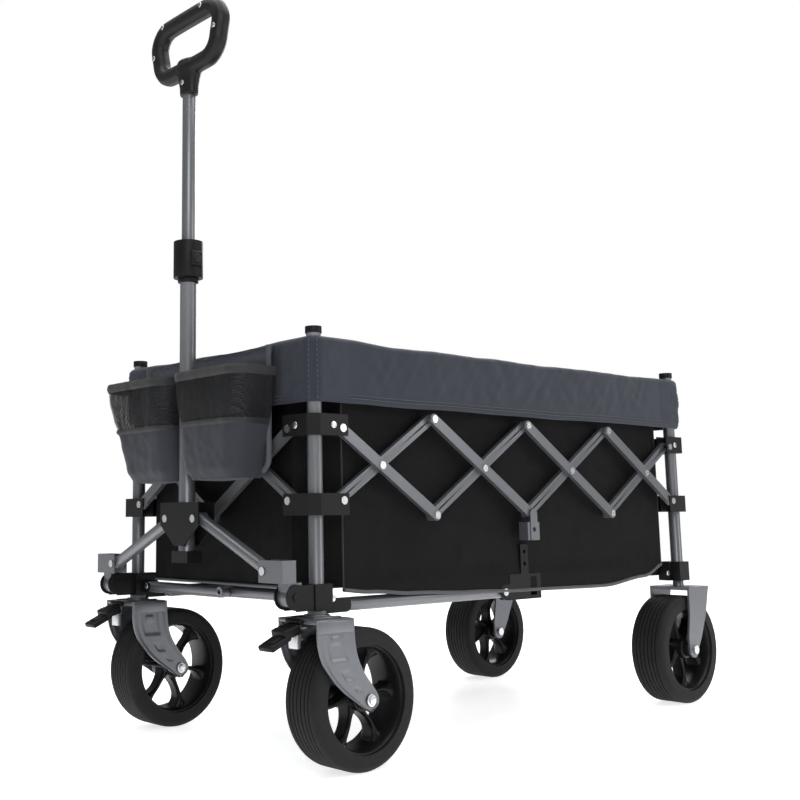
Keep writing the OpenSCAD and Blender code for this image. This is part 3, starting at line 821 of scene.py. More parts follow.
@dataclass
class MetalFrame:
    """Dresses the CAD nodes that keep their own shape."""

    layout: Layout
    looks: Finishes
    edge: float = 0.5
    outer_face: float = 22.01
    lane_a: tuple[float, float] = (10.98, 19.62)

    def dress(self, name: str, base: bpy.types.Material, zones: Sequence[tuple[bpy.types.Material, Test]]) -> None:
        """Gives a node its finishes.

        Args:
            name: the node
            base: the finish of what no zone takes
            zones: finishes with tests of a face's place (mm) and normal; the first that passes wins
        """
        node = frame["nodes"][name]
        node.data.materials.clear()
        for finish in [base, *(zone[0] for zone in zones)]:
            node.data.materials.append(finish)
        for face in node.data.polygons:
            spot = self.layout.back(face.center)
            face.material_index = 0
            for index, (_, test) in enumerate(zones, 1):
                if test(spot, face.normal):
                    face.material_index = index
                    break
        weld = node.modifiers.new("weld", "WELD")
        weld.merge_threshold = 0.00001
        bevel = node.modifiers.new("edges", "BEVEL")
        bevel.width = self.edge * MM
        bevel.segments = 2
        bevel.limit_method = "ANGLE"
        bevel.angle_limit = math.radians(40)
        bevel.harden_normals = False
        LOG.info("dressed %s", name)

    def outward(self, spot: Vector, end: End, side: Side) -> tuple[float, float]:
        """How far a place lies outside the end's and the side's post plane."""
        out_end = -spot.x if end is End.FRONT else spot.x - self.layout.length
        out_side = side.value * spot.y - self.layout.half_w
        return out_end, out_side

    def post_radius(self, spot: Vector, end: End, side: Side) -> float:
        """Distance from the corner post's axis."""
        out_end, out_side = self.outward(spot, end, side)
        return math.hypot(out_end, out_side)

    def corners(self) -> None:
        """Posts, brackets and forks."""
        for end in End:
            for side in Side:
                self.corner(end, side)
                self.slider(end, side)

    def corner(self, end: End, side: Side) -> None:
        """One corner's post, caps, brackets and rivets."""

        def rivet(spot: Vector, normal: Vector) -> bool:
            out = max(self.outward(spot, end, side))
            return spot.z > 300 and out > self.outer_face

        def tube(spot: Vector, normal: Vector) -> bool:
            return spot.z < 625.9 and self.post_radius(spot, end, side) < 11.2 and 263.2 < spot.z

        def fork(spot: Vector, normal: Vector) -> bool:
            return end is End.REAR and spot.z < 226.8

        def bolt(spot: Vector, normal: Vector) -> bool:
            return end is End.REAR and spot.z < 110 and abs(self.outward(spot, end, side)[1]) > 42.01

        self.dress(
            f"{end.word}_{side.word}_corner", self.looks.plastic,
            [(self.looks.steel, rivet), (self.looks.tube, tube), (self.looks.steel, bolt), (self.looks.fork, fork)],
        )

    def slider(self, end: End, side: Side) -> None:
        """One slider and its rivets."""

        def rivet(spot: Vector, normal: Vector) -> bool:
            return max(self.outward(spot, end, side)) > self.outer_face

        self.dress(f"{end.word}_{side.word}_slider", self.looks.plastic, [(self.looks.steel, rivet)])

    def bars(self) -> None:
        """All scissor bars; a falling bar also carries rivets outside its own lane."""
        for name in frame["nodes"]:
            if "_bar_" not in name:
                continue
            word = name.split("_")[0]

            def rivet(spot: Vector, normal: Vector, word: str = word) -> bool:
                if word in ("left", "right"):
                    out = abs(spot.y) - self.layout.half_w
                else:
                    out = -spot.x if word == "front" else spot.x - self.layout.length
                return not self.lane_a[0] < out < self.lane_a[1]

            zones = [(self.looks.steel, rivet)] if "_bar_a" in name else []
            self.dress(name, self.looks.bar, zones)

    def rails(self) -> None:
        """Rails, brackets and the handle's linkage."""
        for side in Side:
            word = side.word
            for end in End:
                self.dress(f"{word}_{end.word}_rail", self.looks.tube, [])
            self.dress(f"{word}_cross_rail", self.looks.tube, [])
            self.dress(f"{word}_handle_strut", self.looks.tube, [])
            self.dress(f"{word}_handle_foot", self.looks.bar, [
                (self.looks.steel, lambda spot, normal: spot.z > 262 and spot.x < -75.06)])
            self.dress(f"{word}_drop_strap", self.looks.fork, [])
            out = self.layout.half_w
            self.dress(f"{word}_mid_bracket", self.looks.plastic, [
                (self.looks.steel, lambda spot, normal: abs(spot.y) > out - 0.55)])

    def studs(self, end: End, side: Side) -> None:
        """Bright rivet heads on the base bracket and, beside the post, on the upper bracket."""
        name, lay = f"{end.word}_{side.word}_corner", self.layout
        spots = [self.outward(lay.back(v.co), end, side) + (lay.back(v.co).z,)
                 for v in frame["nodes"][name].data.vertices]
        heads = []
        for way, inside, height in ((0, 30.0, 241.0), (1, 32.0, 241.0), (0, 18.0, 490.0), (1, 18.0, 490.0)):
            near = [spot[way] for spot in spots
                    if math.hypot(spot[1 - way] + inside, spot[2] - height) < 15 and spot[way] < 22.1]
            if not near:
                continue
            out = max(near)
            low, high = [0.0, 0.0, height], [0.0, 0.0, height]
            for point, reach in ((low, out - 0.4), (high, out + 1.5)):
                there = (reach, -inside) if way == 0 else (-inside, reach)
                point[0] = -there[0] if end is End.FRONT else lay.length + there[0]
                point[1] = side.value * (lay.half_w + there[1])
            heads.append(Bench.rod("stud", lay.point(*low), lay.point(*high), 0.0052, 0.0009))
        if heads:
            stud = Bench.paint(Bench.join(f"{end.word}_{side.word}_base_studs", heads), self.looks.steel)
            finish_piece(stud, name)

    def build(self) -> None:
        """Dresses every kept node."""
        for end in End:
            for side in Side:
                self.studs(end, side)
        self.corners()
        self.bars()
        self.rails()


# ---------------------------------------------------------------- fabric


def ripple(x: float, y: float, z: float, size: float) -> float:
    """Smooth noise from -1 to 1 with cells of the given size, in millimetres."""
    return noise.noise(Vector((x / size, y / size, z / size)))


def ease(value: float, low: float, high: float) -> float:
    """0 below low, 1 above high, smooth between."""
    share = min(max((value - low) / (high - low), 0.0), 1.0)
    return share * share * (3 - 2 * share)


def along(points: Sequence[tuple[float, float]], share: float) -> tuple[float, float]:
    """A point at a share of the length of an open outline."""
    lengths = [math.dist(a, b) for a, b in zip(points, points[1:])]
    left = share * sum(lengths)
    for (a, b), length in zip(zip(points, points[1:]), lengths):
        if left <= length or (a, b) == (points[-2], points[-1]):
            t = min(left / length, 1.0)
            return a[0] + (b[0] - a[0]) * t, a[1] + (b[1] - a[1]) * t
        left -= length
    return points[-1]


def along_curve(points: Sequence[tuple[float, float]], place: float) -> float:
    """The height of a smooth curve through points, at a place along their first coordinate."""
    last = len(points) - 2
    at = next((i for i in range(last + 1) if place <= points[i + 1][0]), last)
    (x0, y0), (x1, y1) = points[at], points[at + 1]
    before, after = points[max(at - 1, 0)], points[min(at + 2, last + 1)]
    start = (y1 - before[1]) / max(x1 - before[0], 1e-9) * (x1 - x0)
    end = (after[1] - y0) / max(after[0] - x0, 1e-9) * (x1 - x0)
    t = min(max((place - x0) / (x1 - x0), 0.0), 1.0)
    return ((2 * t**3 - 3 * t**2 + 1) * y0 + (t**3 - 2 * t**2 + t) * start
            + (3 * t**2 - 2 * t**3) * y1 + (t**3 - t**2) * end)


def arc(
    middle: tuple[float, float], radius: float, start: float, end: float, steps: int
) -> list[tuple[float, float]]:
    """Points of an arc, angles in degrees."""
    turns = [math.radians(start + (end - start) * i / steps) for i in range(steps + 1)]
    return [(middle[0] + radius * math.cos(t), middle[1] + radius * math.sin(t)) for t in turns]


@dataclass
class Basket:
    """The fabric basket: liner walls, the band round the posts, piping, seams and floor."""

    layout: Layout
    looks: Finishes
    top: float = 621.0
    band_low: float = 524.0
    floor: float = 259.5
    inner: float = 2.2
    outer: float = 16.6
    hem: tuple[tuple[float, float], ...] = (
        (40.0, 252.0), (110.0, 246.0), (200.0, 240.0), (330.0, 235.0), (472.0, 231.0), (703.0, 228.0),
        (834.0, 240.0), (905.0, 262.0),
    )

    def hem_height(self, x: float) -> float:
        """Height of the skirt's lower edge at a distance from the front posts."""
        for (x0, z0), (x1, z1) in zip(self.hem, self.hem[1:]):
            if x <= x1:
                return z0 + (z1 - z0) * ease(x, x0, x1)
        return self.hem[-1][1]

    def run(self, end: End, side: Side, long_side: bool) -> tuple[Callable[[float, float, float], Point], str]:
        """The frame of one wall: along it from its anchored corner, inward, and up.

        Args:
            end: the end whose wall it is, where it isn't a long side
            side: the side whose wall it is, where it is one
            long_side: True for a long side

        Returns:
            A function from (along, out, z) to a point, and the body that the wall rides.
        """
        lay = self.layout
        if long_side:
            body = f"front_{side.word}_corner"
            return lambda u, n, z: lay.point(u, side.value * (lay.half_w + n), z), body
        body = f"{end.word}_left_corner"
        base = 0.0 if end is End.FRONT else lay.length
        return lambda u, n, z: lay.point(base + end.value * n, u - lay.half_w, z), body

    def wall_out(self, u: float, z: float, span: float, seed: float) -> float:
        """How far outward a liner wall lies, in wrinkles that fade at its edges."""
        fade = ease(u, 54, 110) * (1 - ease(u, span - 110, span - 54))
        fade *= ease(self.top + 5 - z, 0, 60)
        slack = 0.5 + 0.5 * ripple(u, seed, z * 0.8, 170)
        folds = abs(ripple(u * 1.2 + z * 0.7, seed + 40, z, 62))
        fine = ripple(u, seed + 90, z * 0.5, 24) * 0.5
        return -self.inner - fade * (6.0 * slack + 4.5 * folds + fine)

    def liner_walls(self) -> list[bpy.types.Object]:
        """The four black walls and their corner panels."""
        lay, made = self.layout, []
        for number, (end, side, long_side) in enumerate(self.walls()):
            place, body = self.run(end, side, long_side)
            span = lay.length if long_side else 2 * lay.half_w

            def spot(a: float, b: float, place: Any = place, span: float = span, seed: float = 71.0 * number,
                     long_side: bool = long_side) -> Point:
                u = lay.corner + a * (span - 2 * lay.corner)
                low = self.hem_height(u) if long_side else 254.0
                z = low + b * (self.top - 8 - low)
                out = self.wall_out(u, z, span, seed)
                if z < self.floor + 20 and long_side:
                    out = out * ease(z, 250, self.floor + 20) - 1.9 * (1 - ease(z, 250, self.floor + 20))
                return place(u, out, z)

            flip = side is Side.LEFT if long_side else end is End.FRONT
            wall = Bench.cloth(f"liner_{'side' if long_side else 'end'}_{number}", 150 if long_side else 80, 56,
                               spot, LINER_THICK, self.looks.liner, flip)
            self.fold_up(wall, body, long_side, "basket")
            made.append(wall)
        for end in End:
            for side in Side:
                made.append(self.liner_corner(end, side))
        return made

    def walls(self) -> list[tuple[End, Side, bool]]:
        """The four walls in order: two long sides, two ends."""
        return [(End.FRONT, Side.LEFT, True), (End.FRONT, Side.RIGHT, True),
                (End.FRONT, Side.LEFT, False), (End.REAR, Side.LEFT, False)]

    def fold_up(self, piece: bpy.types.Object, body: str, long_side: bool, node: str) -> None:
        """Rides a wall on its corner."""
        lay = self.layout
        finish_piece(piece, body, [node])
        span, folded = (lay.length, lay.folded_len) if long_side else (2 * lay.half_w, lay.folded_w)
        keep = (folded - 2 * lay.corner) / (span - 2 * lay.corner)
        anchor = lay.point(lay.corner, 0, 300) if long_side else lay.point(0, lay.corner - lay.half_w, 300)
        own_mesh(piece)

    def corner_point(self, end: End, side: Side, along_side: float, along_end: float, z: float) -> Point:
        """A point near a corner post, by its distances inside the two post planes."""
        lay = self.layout
        x = along_side if end is End.FRONT else lay.length - along_side
        return lay.point(x, side.value * (lay.half_w - along_end), z)

    def liner_corner(self, end: End, side: Side) -> bpy.types.Object:
        """The liner's panel across one corner, inside the post."""
        reach, near = self.layout.corner, self.inner

        def spot(a: float, b: float) -> Point:
            z = 256 + b * (self.top - 8 - 256)
            bow = math.sin(math.pi * a) * 3.0
            return self.corner_point(
                end, side, near + (reach - near) * a + bow, reach + (near - reach) * a + bow, z)

        flip = (end is End.FRONT) == (side is Side.RIGHT)
        name = f"liner_corner_{end.word}_{side.word}"
        piece = Bench.cloth(name, 14, 40, spot, LINER_THICK, self.looks.liner, flip)
        finish_piece(piece, f"{end.word}_{side.word}_corner", ["basket"])
        return piece

    def band_profile(self) -> list[tuple[float, float]]:
        """The band's section, as (out, height), from the inner lip over the top to the rolled hem."""
        low, top = self.band_low, self.top
        over = arc((self.outer - 9, top - 9), 9, 90, 0, 6)
        inner = arc((-self.inner + 5.5, top - 6.5), 6.5, 180, 90, 5)
        hem = arc((self.outer - 2.2, low + 2.2), 2.2, 0, -180, 6)
        return [(-self.inner - 1, top - 62), *inner, *over, (self.outer + 0.6, top - 45), (self.outer, low + 12),
                *hem, (self.outer - 4.4, low + 16)]

    def band_shape(self, u: float, out: float, z: float, span: float, seed: float) -> tuple[float, float]:
        """The band's section with its slack: bulges outward, a wavy top and shallow puckers."""
        fade = ease(u, 54, 130) * (1 - ease(u, span - 130, span - 54))
        share = ease(out, 4, self.outer)
        face = share * fade * ease(z, self.band_low + 4, self.band_low + 30)
        bulge = 2.2 + 2.8 * ripple(u, seed, z, 150) + 2.6 * abs(ripple(u * 1.3 + z * 0.6, seed + 9, z, 52))
        bulge += 1.1 * ripple(u * 1.6 - z, seed + 19, z * 0.5, 21)
        wave = fade * ease(z, 560, self.top) * (
            2.6 * ripple(u, seed + 30, 0, 120) - 3.0 + 0.9 * ripple(u, seed, 7, 34))
        hem = fade * (1 - ease(z, self.band_low, 560)) * 1.8 * ripple(u, seed + 60, 3, 130)
        return out + face * bulge, z + wave + hem

    def band(self) -> None:
        """The slate band: four lengths and four corner wraps."""
        lay, profile = self.layout, self.band_profile()
        for number, (end, side, long_side) in enumerate(self.walls()):
            place, body = self.run(end, side, long_side)
            span = lay.length if long_side else 2 * lay.half_w

            def spot(a: float, b: float, place: Any = place, span: float = span,
                     seed: float = 31.0 * number) -> Point:
                u = lay.corner + a * (span - 2 * lay.corner)
                out, z = along(profile, b)
                out, z = self.band_shape(u, out, z, span, seed)
                return place(u, out, z)

            flip = side is Side.RIGHT if long_side else end is End.FRONT
            piece = Bench.cloth(f"band_{'side' if long_side else 'end'}_{number}", 170 if long_side else 90, 64,
                                spot, BAND_THICK, self.looks.band, flip)
            self.fold_up(piece, body, long_side, "basket")
        for end in End:
            for side in Side:
                self.band_corner(end, side, profile)

    def band_corner(self, end: End, side: Side, profile: Sequence[tuple[float, float]]) -> None:
        """The band's wrap round one post."""
        reach, near = self.layout.corner, self.inner

        def spot(a: float, b: float) -> Point:
            out, z = along(profile, b)
            share = ease(out, 6, self.outer)
            ditch = math.exp(-(((a - 0.5) / 0.035) ** 2))
            crease = abs(ripple(a * 60 + z * 0.5, 11.0 * end.value + side.value, z, 17)) * 2.6
            crease += abs(ripple(a * 90, z * 0.35, 3.0 * side.value, 13)) * 1.6
            swell = math.sin(math.pi * a) * (2.4 + crease) - 2.8 * ditch
            radius = max(out + share * swell * ease(z, self.band_low - 2, self.band_low + 16), 0.5)
            path = [(reach, -radius), *arc((0, 0), radius, -90, -180, 10), (-radius, reach)]
            far = along(path, a)
            inside = (reach + (near - reach) * a, near + (reach - near) * a)
            share = ease(out, -near - 1, 10)
            x = inside[0] + (far[0] - inside[0]) * share
            y = inside[1] + (far[1] - inside[1]) * share
            return self.corner_point(end, side, x, y, z)

        flip = (end is End.FRONT) != (side is Side.LEFT)
        name = f"band_corner_{end.word}_{side.word}"
        piece = Bench.cloth(name, 44, 64, spot, BAND_THICK, self.looks.band, flip)
        finish_piece(piece, f"{end.word}_{side.word}_corner", ["basket"])
        threads = []
        for row, share in enumerate((0.455, 0.545)):
            for stitch in range(17):
                low = 0.3 + stitch * 0.04
                if low + 0.024 > 0.93:
                    continue
                line = [spot(share, low + 0.012 * step) for step in range(3)]
                inner = Vector(self.corner_point(end, side, 6.0, 6.0, 0.0))
                outward = (Vector(line[1]) - inner).to_2d().normalized()
                lifted = [(x + outward.x * 0.0006, y + outward.y * 0.0006, z) for x, y, z in line]
                threads.append(Bench.cord(f"corner_thread_{row}_{stitch}", lifted, 0.5 * MM, self.looks.piping))
        sewn = Bench.join(f"band_seam_{end.word}_{side.word}", threads)
        finish_piece(sewn, f"{end.word}_{side.word}_corner", ["basket"])

    def stitches(self) -> None:
        """Two rows of stitching along the band's hem, as raised threads."""
        lay = self.layout
        for number, (end, side, long_side) in enumerate(self.walls()):
            place, body = self.run(end, side, long_side)
            span = lay.length if long_side else 2 * lay.half_w
            parts = []
            for row, (height, out) in enumerate(((self.band_low + 7, 0.95), (self.band_low + 12, 0.95))):
                points = []
                steps = int(span / 14)
                for step in range(steps + 1):
                    u = lay.corner + step / steps * (span - 2 * lay.corner)
                    n, z = self.band_shape(u, self.outer, height, span, 31.0 * number)
                    points.append(place(u, n + out, z))
                parts.append(Bench.cord(f"thread_{number}_{row}", points, 0.45 * MM, self.looks.piping))
            piece = Bench.join(f"band_stitching_{number}", parts)
            self.fold_up(piece, body, long_side, "basket")

    def piping(self) -> None:
        """The grey cord along the skirt's lower edge, and the upright seams near the posts."""
        lay = self.layout
        for side in Side:
            place, body = self.run(End.FRONT, side, True)
            steps = 70
            points = []
            for step in range(steps + 1):
                u = lay.corner + step / steps * (lay.length - 2 * lay.corner)
                points.append(place(u, -1.4, self.hem_height(u)))
            cord = Bench.cord(f"skirt_piping_{side.word}", points, 3.0 * MM, self.looks.piping)
            self.fold_up(cord, body, True, "basket")
            for end in End:
                x = lay.corner if end is End.FRONT else lay.length - lay.corner
                if side is Side.LEFT:
                    spot, end_body = self.run(end, side, False)
                    line = [spot(lay.corner + i / 30 * (2 * lay.half_w - 2 * lay.corner), -self.inner, 254.5)
                            for i in range(31)]
                    hem = Bench.cord(f"end_piping_{end.word}", line, 2.1 * MM, self.looks.piping)
                    self.fold_up(hem, end_body, False, "basket")
                ends = [place(x, -1.9, self.hem_height(x) + (self.band_low - self.hem_height(x)) * i / 12)
                        for i in range(13)]
                seam = Bench.cord(f"upright_seam_{end.word}_{side.word}", ends, 1.3 * MM, self.looks.tape)
                finish_piece(seam, f"{end.word}_{side.word}_corner", ["basket"])

    def floor_mat(self) -> None:
        """The padded floor in two halves that lift with the cross rails, with sewn channels."""
        lay = self.layout
        for side in Side:
            inner_edge = lay.half_w - 6

            def spot(a: float, b: float, side: Side = side) -> Point:
                u = 8 + a * (lay.length - 16)
                v = 1.0 + b * (inner_edge - 1.0)
                near_end = min(u, lay.length - u) + (lay.half_w - v)
                cut = max(0.0, 58 - near_end)
                v -= cut if v > lay.half_w - 60 else 0.0
                channel = abs(((u - lay.length / 2) / 118.0) % 1.0 - 0.5) * 2
                crown = (1 - channel ** 6) * math.sin(math.pi * min(max(b, 0.02), 0.98)) ** 0.4
                z = 261.6 + 4.2 * crown + 0.6 * ripple(u, v, 0, 40)
                return lay.point(u, side.value * v, z)

            piece = Bench.cloth(f"floor_mat_{side.word}", 150, 40, spot, 2.0 * MM, self.looks.liner,
                                side is Side.LEFT)
            finish_piece(piece, f"{side.word}_cross_rail", ["basket"])
            lay.point(8, 0, 262)
            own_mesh(piece)

    def build(self) -> None:
        """Makes the whole basket."""
        self.liner_walls()
        self.band()
        self.stitches()
        self.piping()
        self.floor_mat()


@dataclass
class Organizer:
    """The front panel with its two pockets, net and elastic."""

    layout: Layout
    looks: Finishes
    half: float = 165.0
    low: float = 425.0
    high: float = 615.0
    back: float = -25.6
    depth: float = 76.0
    pocket_low: float = 415.0
    cloth_top: float = 500.0
    net_top: float = 578.0

    def attach(self, piece: bpy.types.Object) -> None:
        """Rides the front left corner."""
        lay = self.layout
        finish_piece(piece, "front_left_corner", ["organizer"])
        lay.point(0, -lay.half_w + 20, 500)
        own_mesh(piece)

    def panel(self) -> None:
        """The backing panel, its flap over the band and its bound edge."""
        lay = self.layout

        def spot(a: float, b: float) -> Point:
            y = -self.half + 2 * self.half * a
            z = self.low + (self.high - self.low) * b
            round_off = max(0.0, 22 - (z - self.low))
            pull = 22 - math.sqrt(max(22 * 22 - round_off * round_off, 0.0))
            y *= (self.half - pull) / self.half
            x = self.back - 1.2 + 1.6 * ripple(y, z, 5, 70) * ease(b, 0.1, 0.4)
            x += 8.5 * ease(b, 0.86, 1.0)
            return lay.point(min(x, -17.6), y, z)

        panel = Bench.cloth("organizer_panel", 90, 50, spot, 1.6 * MM, self.looks.band, True)
        self.attach(panel)
        rim = [(-self.half, self.high), (-self.half, self.low + 20), *[
            (-self.half + 20 - 20 * math.cos(t), self.low + 20 - 20 * math.sin(t))
            for t in (0.3, 0.8, 1.2)], (-self.half + 24, self.low), (0, self.low)]
        points = [*rim, *[(-y, z) for y, z in reversed(rim[:-1])]]
        cord = Bench.cord("organizer_binding", [lay.point(self.back - 2.0, y, z) for y, z in points], 4.2 * MM,
                          self.looks.piping)
        self.attach(cord)

    def pocket_path(self, side: Side, a: float, low_share: float) -> tuple[float, float]:
        """A point of a pocket's outline in plan: (out of the panel, y), drawn in at the bottom."""
        inner, outer = 15.0, 187.0 - 36.0 * low_share
        deep = self.depth - 20 * low_share
        corner = 26.0
        outline = [(2.0, inner), *[(deep - corner + corner * math.sin(t), inner + corner - corner * math.cos(t))
                                   for t in np.linspace(0, math.pi / 2, 7)],
                   *[(deep - corner + corner * math.cos(t), outer - corner + corner * math.sin(t))
                     for t in np.linspace(0, math.pi / 2, 7)], (2.0, outer)]
        out, y = along(outline, a)
        return out, side.value * y

    def pocket_wall(self, side: Side, name: str, low: float, high: float, finish: bpy.types.Material,
                    rows: int, lift: float) -> bpy.types.Object:
        """One level of a pocket's wall.

        Args:
            side: which pocket
            name: the piece's name
            low: its lower edge
            high: its upper edge
            finish: its cloth
            rows: cells up the wall
            lift: how far it stands proud of the pocket's outline

        Returns:
            The piece.
        """

        def spot(a: float, b: float) -> Point:
            z = low + (high - low) * b
            share = 1 - ease(z, self.pocket_low, self.net_top)
            out, y = self.pocket_path(side, a, share)
            tuck = 1 - ease(z, self.pocket_low - 2, self.pocket_low + 18)
            out -= tuck * 9 * ease(out, 10, 40)
            crease = 1.7 * ripple(y, z, out, 34) + 1.2 * ripple(out * 2, z, y, 15)
            swell = 2.5 * math.sin(math.pi * b) * ease(out, 8, 40)
            out = min(out + (swell + crease + lift) * ease(out, 8, 30), self.depth + 3)
            middle = side.value * 101.0
            y = middle + (y - middle) * (1 - 0.05 * tuck)
            return self.layout.point(self.back - 3 - out, y, z)

        return Bench.cloth(name, 72, rows, spot, 1.2 * MM, finish, side is Side.LEFT)

    def pockets(self) -> None:
        """Two pockets: grey cloth below, net above, an elastic rim and a seam between."""
        lay = self.layout
        for side in Side:
            word = side.word
            cloth = self.pocket_wall(side, f"pocket_cloth_{word}", self.pocket_low, self.cloth_top,
                                     self.looks.pocket, 34, 0.4)
            self.attach(cloth)
            net = self.pocket_wall(side, f"pocket_net_{word}", self.cloth_top - 3, self.net_top - 6,
                                   self.looks.net, 26, -0.4)
            self.attach(net)
            rim = self.pocket_wall(side, f"pocket_elastic_{word}", self.net_top - 12, self.net_top + 2,
                                   self.looks.tape, 8, 0.8)
            self.attach(rim)
            seam = self.pocket_wall(side, f"pocket_seam_{word}", self.cloth_top - 5, self.cloth_top + 3,
                                    self.looks.tape, 4, 1.6)
            self.attach(seam)

            def base(a: float, b: float, side: Side = side) -> Point:
                out, y = self.pocket_path(side, a, 1.0)
                middle = side.value * 90.0
                z = self.pocket_low + 1.5 - 3.5 * math.sin(math.pi * b) * math.sin(math.pi * a)
                return lay.point(self.back - 3 - max(out - 9, 1) * b,
                                 middle + (y - middle) * (0.2 + 0.75 * b), max(z, 413))

            bottom = Bench.cloth(f"pocket_base_{word}", 60, 14, base, 1.2 * MM, self.looks.pocket,
                                 side is Side.RIGHT)
            self.attach(bottom)

    def build(self) -> None:
        """Makes the whole organizer."""
        self.panel()
        self.pockets()


# ---------------------------------------------------------------- wheels and forks


@dataclass
class Wheel:
    """A foam tyre on a rim with six curved spokes."""

    layout: Layout
    looks: Finishes
    radius: float = 100.0
    width: float = 69.0
    rim: float = 76.0
    grooves: tuple[float, ...] = (-19.5, -12.0, -4.0, 4.0, 12.0, 19.5)

    def tyre(self, middle: Point) -> bpy.types.Object:
        """The tyre: a drum whose ends are inset to a ring, with a bevelled shoulder and tread grooves."""
        Bench.clear()
        bpy.ops.mesh.primitive_cylinder_add(
            vertices=120, radius=self.radius * MM, depth=self.width * MM, rotation=(math.pi / 2, 0, 0))
        piece = Bench.take("tyre")
        Bench.settle(piece)
        Bench.pick_faces(piece, lambda c, n: abs(n.y) > 0.9)
        bpy.ops.object.mode_set(mode="EDIT")
        bpy.ops.mesh.inset(thickness=(self.radius - self.rim) * MM)
        bpy.ops.mesh.bridge_edge_loops()
        bpy.ops.object.mode_set(mode="OBJECT")
        Bench.pick_edges(piece, lambda e, m: all(
            math.hypot(m.vertices[i].co.x, m.vertices[i].co.z) > self.radius * MM * 0.98 for i in e.vertices)
            and abs(m.vertices[e.vertices[0]].co.y - m.vertices[e.vertices[1]].co.y) < 1e-6)
        bpy.ops.object.mode_set(mode="EDIT")
        bpy.ops.mesh.bevel(offset=10 * MM, segments=5, affect="EDGES")
        for groove in self.grooves:
            for shift in (-1.0, 1.0):
                bpy.ops.mesh.select_all(action="SELECT")
                bpy.ops.mesh.bisect(plane_co=(0, (groove + shift) * MM, 0), plane_no=(0, 1, 0))
        bpy.ops.object.mode_set(mode="OBJECT")
        Bench.pick_faces(piece, lambda c, n: math.hypot(c.x, c.z) > 0.097 and any(
            abs(c.y / MM - groove) < 0.9 for groove in self.grooves))
        bpy.ops.object.mode_set(mode="EDIT")
        bpy.ops.mesh.inset(thickness=0.25 * MM, depth=-2.2 * MM)
        Bench.close_up()
        Bench.smooth(piece, 40)
        Bench.paint(piece, TyreRubber("tyre_" + str(len(bpy.data.materials)), middle).make())
        return piece

    def barrel(self) -> bpy.types.Object:
        """The rim's barrel: a ring with lips and a shallow valley."""
        Bench.clear()
        bpy.ops.mesh.primitive_cylinder_add(
            vertices=96, radius=(self.rim - 0.1) * MM, depth=62 * MM, rotation=(math.pi / 2, 0, 0))
        piece = Bench.take("barrel")
        Bench.settle(piece)
        Bench.pick_faces(piece, lambda c, n: abs(n.y) > 0.9)
        bpy.ops.object.mode_set(mode="EDIT")
        bpy.ops.mesh.inset(thickness=2.8 * MM)
        bpy.ops.mesh.inset(thickness=3.0 * MM, depth=-5 * MM)
        bpy.ops.mesh.bridge_edge_loops()
        Bench.close_up()
        Bench.smooth(piece, 35)
        return piece

    def spoke(self) -> bpy.types.Object:
        """One curved spoke with flared ends."""
        Bench.clear()
        bpy.ops.mesh.primitive_cube_add(size=1)
        piece = Bench.take("spoke")
        bpy.ops.object.mode_set(mode="EDIT")
        bpy.ops.mesh.subdivide(number_cuts=9)
        bpy.ops.object.mode_set(mode="OBJECT")
        inner, outer = 13.0, self.rim - 4.5
        for vertex in piece.data.vertices:
            t = vertex.co.x + 0.5
            flare = 1 + 3.4 * abs(2 * t - 1) ** 3.2 * (0.5 if t < 0.5 else 1.0)
            half = 3.3 * flare
            deep = 13.0 + 5.0 * abs(2 * t - 1) ** 3
            crown = 1 - 0.28 * (2 * vertex.co.z) ** 2
            bend = 9.0 * math.sin(math.pi * t) * (0.4 + 0.6 * t)
            vertex.co = Vector(((inner + (outer - inner) * t) * MM, vertex.co.y * 2 * deep * crown * MM,
                                (vertex.co.z * 2 * half + bend - 4) * MM))
        finish = piece.modifiers.new("round", "BEVEL")
        finish.width = 1.1 * MM
        finish.segments = 2
        finish.limit_method = "ANGLE"
        Bench.only(piece)
        bpy.ops.object.modifier_apply(modifier=finish.name)
        Bench.smooth(piece, 35)
        return piece

    def hub(self) -> bpy.types.Object:
        """The hub barrel with stepped ends."""
        parts = [Bench.rod("hub", (0, -0.036, 0), (0, 0.036, 0), 0.0135, 0.0015),
                 Bench.rod("hub_mid", (0, -0.026, 0), (0, 0.026, 0), 0.0185, 0.003)]
        for side in (-1, 1):
            parts.append(Bench.rod("bearing", (0, side * 0.036, 0), (0, side * 0.0371, 0), 0.0095, 0.0004))
        return Bench.join("hub", parts)

    def build(self) -> None:
        """Makes one wheel and copies it to all four corners."""
        spokes = [self.spoke()]
        for turn in range(1, 6):
            spokes.append(Bench.copy(spokes[0], "spoke", Matrix.Rotation(math.radians(60 * turn), 4, "Y")))
        wheel = Bench.join("rim", [self.barrel(), self.hub(), *spokes])
        Bench.paint(wheel, self.looks.gloss)
        for end in End:
            for side in Side:
                name = f"{end.word}_{side.word}_wheel"
                low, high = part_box(name)
                middle = (low + high) / 2
                spin = 17 + 13 * end.value + 9 * side.value
                move = Matrix.Translation(middle) @ Matrix.Rotation(math.radians(spin), 4, "Y")
                rim = Bench.copy(wheel, f"{end.word}_{side.word}_rim", move)
                tyre = self.tyre(tuple(middle))
                tyre.name = f"{end.word}_{side.word}_tyre"
                tyre.data.transform(Matrix.Translation(middle))
                for piece in (rim, tyre):
                    finish_piece(piece, name, [name])
        bpy.data.objects.remove(wheel)


